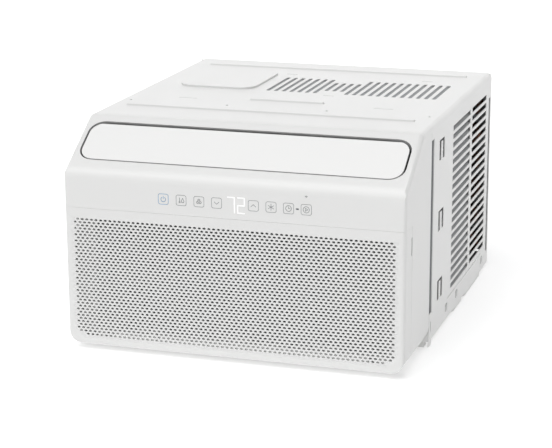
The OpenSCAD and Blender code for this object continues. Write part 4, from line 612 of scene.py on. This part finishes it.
# ---- Marks on the fascia ----
# Rounded squares with plain signs are screen-printed in grey, the power mark in blue. Two
# white figures shine through the plastic. The place for a badge at the left is bare.
def stroke(bm, middle, points, width, closed=False):
    """A flat line of even width through points about a middle on the fascia, with round joints."""
    spots = [Vector((middle[0] + x, print_y, middle[1] + z)) for x, z in points]
    pairs = list(zip(spots, spots[1:])) + ([(spots[-1], spots[0])] if closed else [])
    facing = Matrix.Rotation(math.pi / 2, 4, "X")
    for start, end in pairs:
        along = end - start
        halfway = Matrix.Translation((start + end) / 2)
        turn = Matrix.Rotation(-math.atan2(along.z, along.x), 4, "Y")
        stretch = Matrix.Diagonal((along.length, width, 1, 1))
        bmesh.ops.create_grid(bm, x_segments=1, y_segments=1, size=0.5,
                              matrix=halfway @ turn @ facing @ stretch)
    for spot in spots:
        bmesh.ops.create_circle(bm, cap_ends=True, segments=8, radius=width / 2,
                                matrix=Matrix.Translation(spot) @ facing)


def arc(x, z, r, start, end, steps=14):
    """Points on a circle between two angles in degrees."""
    turns = [math.radians(start + (end - start) * i / steps) for i in range(steps + 1)]
    return [(x + r * math.cos(t), z + r * math.sin(t)) for t in turns]


def printed_ink(name, code):
    """Screen-printed ink: flat and slightly rough, with the weave of the screen 0.4 mm apart."""
    made, tree, surface, place = finish(name, code, Roughness=0.45)
    weave = add(tree, "TexNoise", {"Vector": place}, {"Scale": 2500, "Detail": 1})
    bump = add(tree, "Bump", {"Height": weave.outputs["Fac"]},
               {"Strength": 0.1, "Distance": 0.00005})
    tree.links.new(bump.outputs[0], surface.inputs["Normal"])
    return made


# Sizes and points of each sign are in metres from the middle of its key.
keys_z, key_half, key_corner, line_w, sign_w = 0.2252, 0.0071, 0.0026, 0.0006, 0.0007
power, drop, fan, down, up, snow, clock, follow = [
    (x, keys_z) for x in (-0.0948, -0.0693, -0.0440, -0.0190, 0.0325, 0.0570, 0.0812, 0.1055)]
stem_w, dot_w, ink_t = 0.0008, 0.0022, 0.00006
print_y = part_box("front_panel")[0].y - ink_t
straight = key_half - key_corner
key_outline = [point for i, j, start in ((1, 1, 0), (-1, 1, 90), (-1, -1, 180), (1, -1, 270))
               for point in arc(i * straight, j * straight, key_corner, start, start + 90, 6)]

# a broken ring with a bar in its gap
bm = bmesh.new()
stroke(bm, power, key_outline, line_w, closed=True)
stroke(bm, power, arc(0, -0.0003, 0.0034, 125, 415), sign_w)
stroke(bm, power, [(0, 0.0006), (0, 0.0040)], sign_w)
settle(bm, "power_mark", printed_ink("screen_printed_blue_ink", "#4E97CB"), "case")

bm = bmesh.new()
for key in (drop, fan, down, up, snow, clock, follow):
    stroke(bm, key, key_outline, line_w, closed=True)
# a thermometer beside a drop
stroke(bm, drop, [(-0.0022, 0.0035), (-0.0022, -0.0010)], stem_w)
stroke(bm, drop, arc(-0.0022, -0.0024, 0.0009, 0, 330, 10), sign_w, closed=True)
stroke(bm, drop, arc(0.0022, -0.0012, 0.0018, 150, 390, 10) + [(0.0022, 0.0032)],
       sign_w, closed=True)
# a fan with three blades
for turn in (90, 210, 330):
    tip = [0.0021 * way for way in (math.cos(math.radians(turn)), math.sin(math.radians(turn)))]
    stroke(bm, fan, arc(*tip, 0.0015, turn - 130, turn + 120, 10), sign_w, closed=True)
# arrows down and up
for key, way in ((down, -1), (up, 1)):
    stroke(bm, key, [(-0.0034, way * -0.0014), (0, way * 0.0016), (0.0034, way * -0.0014)], sign_w)
# a snow crystal
for turn in (30, 90, 150):
    tip = Vector((math.cos(math.radians(turn)), math.sin(math.radians(turn)))) * 0.0044
    stroke(bm, snow, [-tip, tip], sign_w)
# a clock
stroke(bm, clock, arc(0, 0, 0.0039, 0, 345, 22), sign_w, closed=True)
stroke(bm, clock, [(0, 0.0023), (0, 0), (0.0019, 0)], sign_w)
# a start sign in a ring, tied to the clock by a dot, with a radio sign over it
stroke(bm, follow, arc(0, 0, 0.0042, 0, 345, 22), sign_w, closed=True)
stroke(bm, follow, [(-0.0012, 0.0020), (-0.0012, -0.0020), (0.0021, 0)], sign_w, closed=True)
stroke(bm, ((clock[0] + follow[0]) / 2, keys_z), [(-0.0012, 0), (0.0012, 0)], dot_w)
for r in (0.0009, 0.0022):
    stroke(bm, follow, arc(0, 0.0163, r, 45, 135, 6), sign_w)
settle(bm, "key_marks", printed_ink("screen_printed_grey_ink", "#8A8D90"), "case")

# Light-emitting segments 1.6 mm wide, softened by the plastic over them.
lit, tree, surface, place = finish("segments_lit_white", "#FFFFFF", Roughness=0.5,
                                   Emission_Color=linear("#FFFFFF"), Emission_Strength=0.15)
speckle = add(tree, "TexNoise", {"Vector": place}, {"Scale": 1500, "Detail": 2})
bump = add(tree, "Bump", {"Height": speckle.outputs["Fac"]}, {"Strength": 0.05, "Distance": 0.0001})
tree.links.new(bump.outputs[0], surface.inputs["Normal"])
seven, two = (-0.0035, 0.2136), (0.0105, 0.2136)
figure_w, figure_mid, figure_h, segment_w = 0.0095, 0.0104, 0.0209, 0.0016
bm = bmesh.new()
stroke(bm, seven, [(0, figure_h), (figure_w, figure_h), (figure_w, 0)], segment_w)
stroke(bm, two, [(0, figure_h), (figure_w, figure_h), (figure_w, figure_mid), (0, figure_mid),
                 (0, 0), (figure_w, 0)], segment_w)
settle(bm, "display_figures", lit, "case")


# ---- Filter ----
# A polypropylene frame with a nylon net moulded into it, both dark grey. It lifts out upwards
# once the grille is down. The real threads cross every 0.8 mm; here they cross every 2 mm.
softened("filter_frame", "moulded_filter_frame", pp_grey, edge=0.0003)

nylon, tree, surface, place = finish("woven_nylon_thread", "#8C9094", Roughness=0.45, IOR=1.53)
strands = add(tree, "TexNoise", {"Vector": place}, {"Scale": 1800, "Detail": 2})
tint = add(tree, "ValToRGB", {"Fac": strands.outputs["Fac"]})
tint.color_ramp.elements[0].color = linear("#7C8084")
tint.color_ramp.elements[1].color = linear("#A2A6AA")
tree.links.new(tint.outputs["Color"], surface.inputs["Base Color"])
thread_t, thread_pitch = 0.0004, 0.0020
low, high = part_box("filter_mesh")
middle, reach = (low + high) / 2, high - low
bm = bmesh.new()
for axis, across in ((0, 2), (2, 0)):
    size = Vector((thread_t, thread_t, thread_t))
    size[across] = reach[across]
    thread = bmesh.ops.create_cube(bm, size=1)["verts"]
    bmesh.ops.scale(bm, vec=size, verts=thread)
    bmesh.ops.translate(bm, vec=middle, verts=thread)
    first = list({g for v in thread for g in [v, *v.link_edges, *v.link_faces]})
    each_side = int(reach[axis] / thread_pitch) // 2
    step = Vector()
    for i in range(1, each_side + 1):
        for side in (-1, 1):
            step[axis] = side * i * thread_pitch
            copy = bmesh.ops.duplicate(bm, geom=first)["geom"]
            bmesh.ops.translate(bm, vec=step, verts=points_in(copy))
net = settle(bm, "woven_filter_net", nylon, "filter")
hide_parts("filter_mesh")


# ---- Intake grille ----
# The ABS cover under the fascia wraps round both sides and hinges on two pins at its foot. Its
# field of staggered holes has rounded lower corners and a row of blind dimples under it.
def mid_cell(spot):
    """True for the grid point in the middle of a cell: the cells lie in bond, like bricks."""
    across, up = round(spot.x / half_column), round((spot.z - plate_low) / half_row)
    return up % 2 == 1 and (across + (up + 1) // 2) % 2 == 0 and abs(across) < columns


def in_field(face, grow=0.0):
    """True if a cell's middle lies in the field, or in the field grown outwards."""
    spot = face.calc_center_bounds()
    beside = max(0, abs(spot.x) - (field_x - field_corner))
    under = max(0, field_low + field_corner - spot.z)
    return math.hypot(beside, under) < field_corner + grow and spot.z < field_high


def in_plate(spot):
    """True for a point of the front wall where the perforated plate comes."""
    return (abs(spot.x) < plate_x + close and spot.y < face_y + plate_t + close
            and plate_low - close < spot.z < plate_high + close)


columns, half_column, rows, half_row = 68, 0.0034, 39, 0.002225
plate_x, plate_low, plate_t = columns * half_column, 0.01695, 0.0025
plate_high = plate_low + 2 * rows * half_row
hole_wide, hole_tall, cell_rim = 0.0024, 0.0016, 0.0003
eighth, cell_corners = math.radians(45), 8
field_x, field_low, field_high, field_corner = 0.2261, 0.0215, 0.1890, 0.0180
dimple_reach, dimple_depth, raised_edge, close = 0.0042, 0.0006, 0.0003, 1e-5
grille_low, grille_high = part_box("intake_grille")
face_y = grille_low.y

holes = bmesh.new()
bmesh.ops.create_grid(holes, x_segments=2 * columns, y_segments=2 * rows, size=0.5)
bmesh.ops.scale(holes, vec=(2 * plate_x, plate_high - plate_low, 1), verts=holes.verts)
bmesh.ops.rotate(holes, matrix=Matrix.Rotation(math.pi / 2, 3, "X"), verts=holes.verts)
bmesh.ops.translate(holes, vec=(0, face_y, (plate_low + plate_high) / 2), verts=holes.verts)
bmesh.ops.dissolve_verts(holes, verts=[v for v in holes.verts if mid_cell(v.co)])
cells = [f for f in holes.faces if len(f.verts) == cell_corners]
through = [f for f in cells if in_field(f)]
dimples = [f for f in cells if in_field(f, grow=dimple_reach) and not in_field(f)]
bmesh.ops.inset_individual(holes, faces=through + dimples, thickness=cell_rim)
for face in through + dimples:
    middle = face.calc_center_bounds()
    for v in face.verts:
        turn = round(math.atan2(v.co.z - middle.z, v.co.x - middle.x) / eighth) * eighth
        v.co = middle + Vector((math.cos(turn) * hole_wide, 0, math.sin(turn) * hole_tall))
bmesh.ops.delete(holes, geom=through, context="FACES_ONLY")
pits = list({v for f in dimples for v in f.verts})
bmesh.ops.translate(holes, vec=(0, dimple_depth, 0), verts=pits)
bmesh.ops.solidify(holes, geom=holes.faces[:], thickness=plate_t)
perforated = bpy.data.meshes.new("perforated_plate")
holes.to_mesh(perforated)
holes.free()

# The plate takes the place of the solid's coarse front wall.
bm = merged("intake_grille")
for spot, way in (((plate_x, 0, 0), (1, 0, 0)), ((-plate_x, 0, 0), (1, 0, 0)),
                  ((0, 0, plate_low), (0, 0, 1)), ((0, 0, plate_high), (0, 0, 1))):
    bmesh.ops.bisect_plane(bm, geom=everything(bm), plane_co=spot, plane_no=way)
wall = [f for f in bm.faces if all(in_plate(v.co) for v in f.verts)]
bmesh.ops.delete(bm, geom=wall, context="FACES")
bm.from_mesh(perforated)
bpy.data.meshes.remove(perforated)
top_edge = [v for v in bm.verts if v.co.z > grille_high.z - close]
bmesh.ops.translate(bm, vec=(0, 0, raised_edge), verts=top_edge)
grille = settle(bm, "perforated_intake_grille", abs_white, "grille", smooth=True)
grille.modifiers.new("flat_faces", "WEIGHTED_NORMAL").keep_sharp = True
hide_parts("intake_grille")
softened("grille_pins", "grille_hinge_pins", plated)
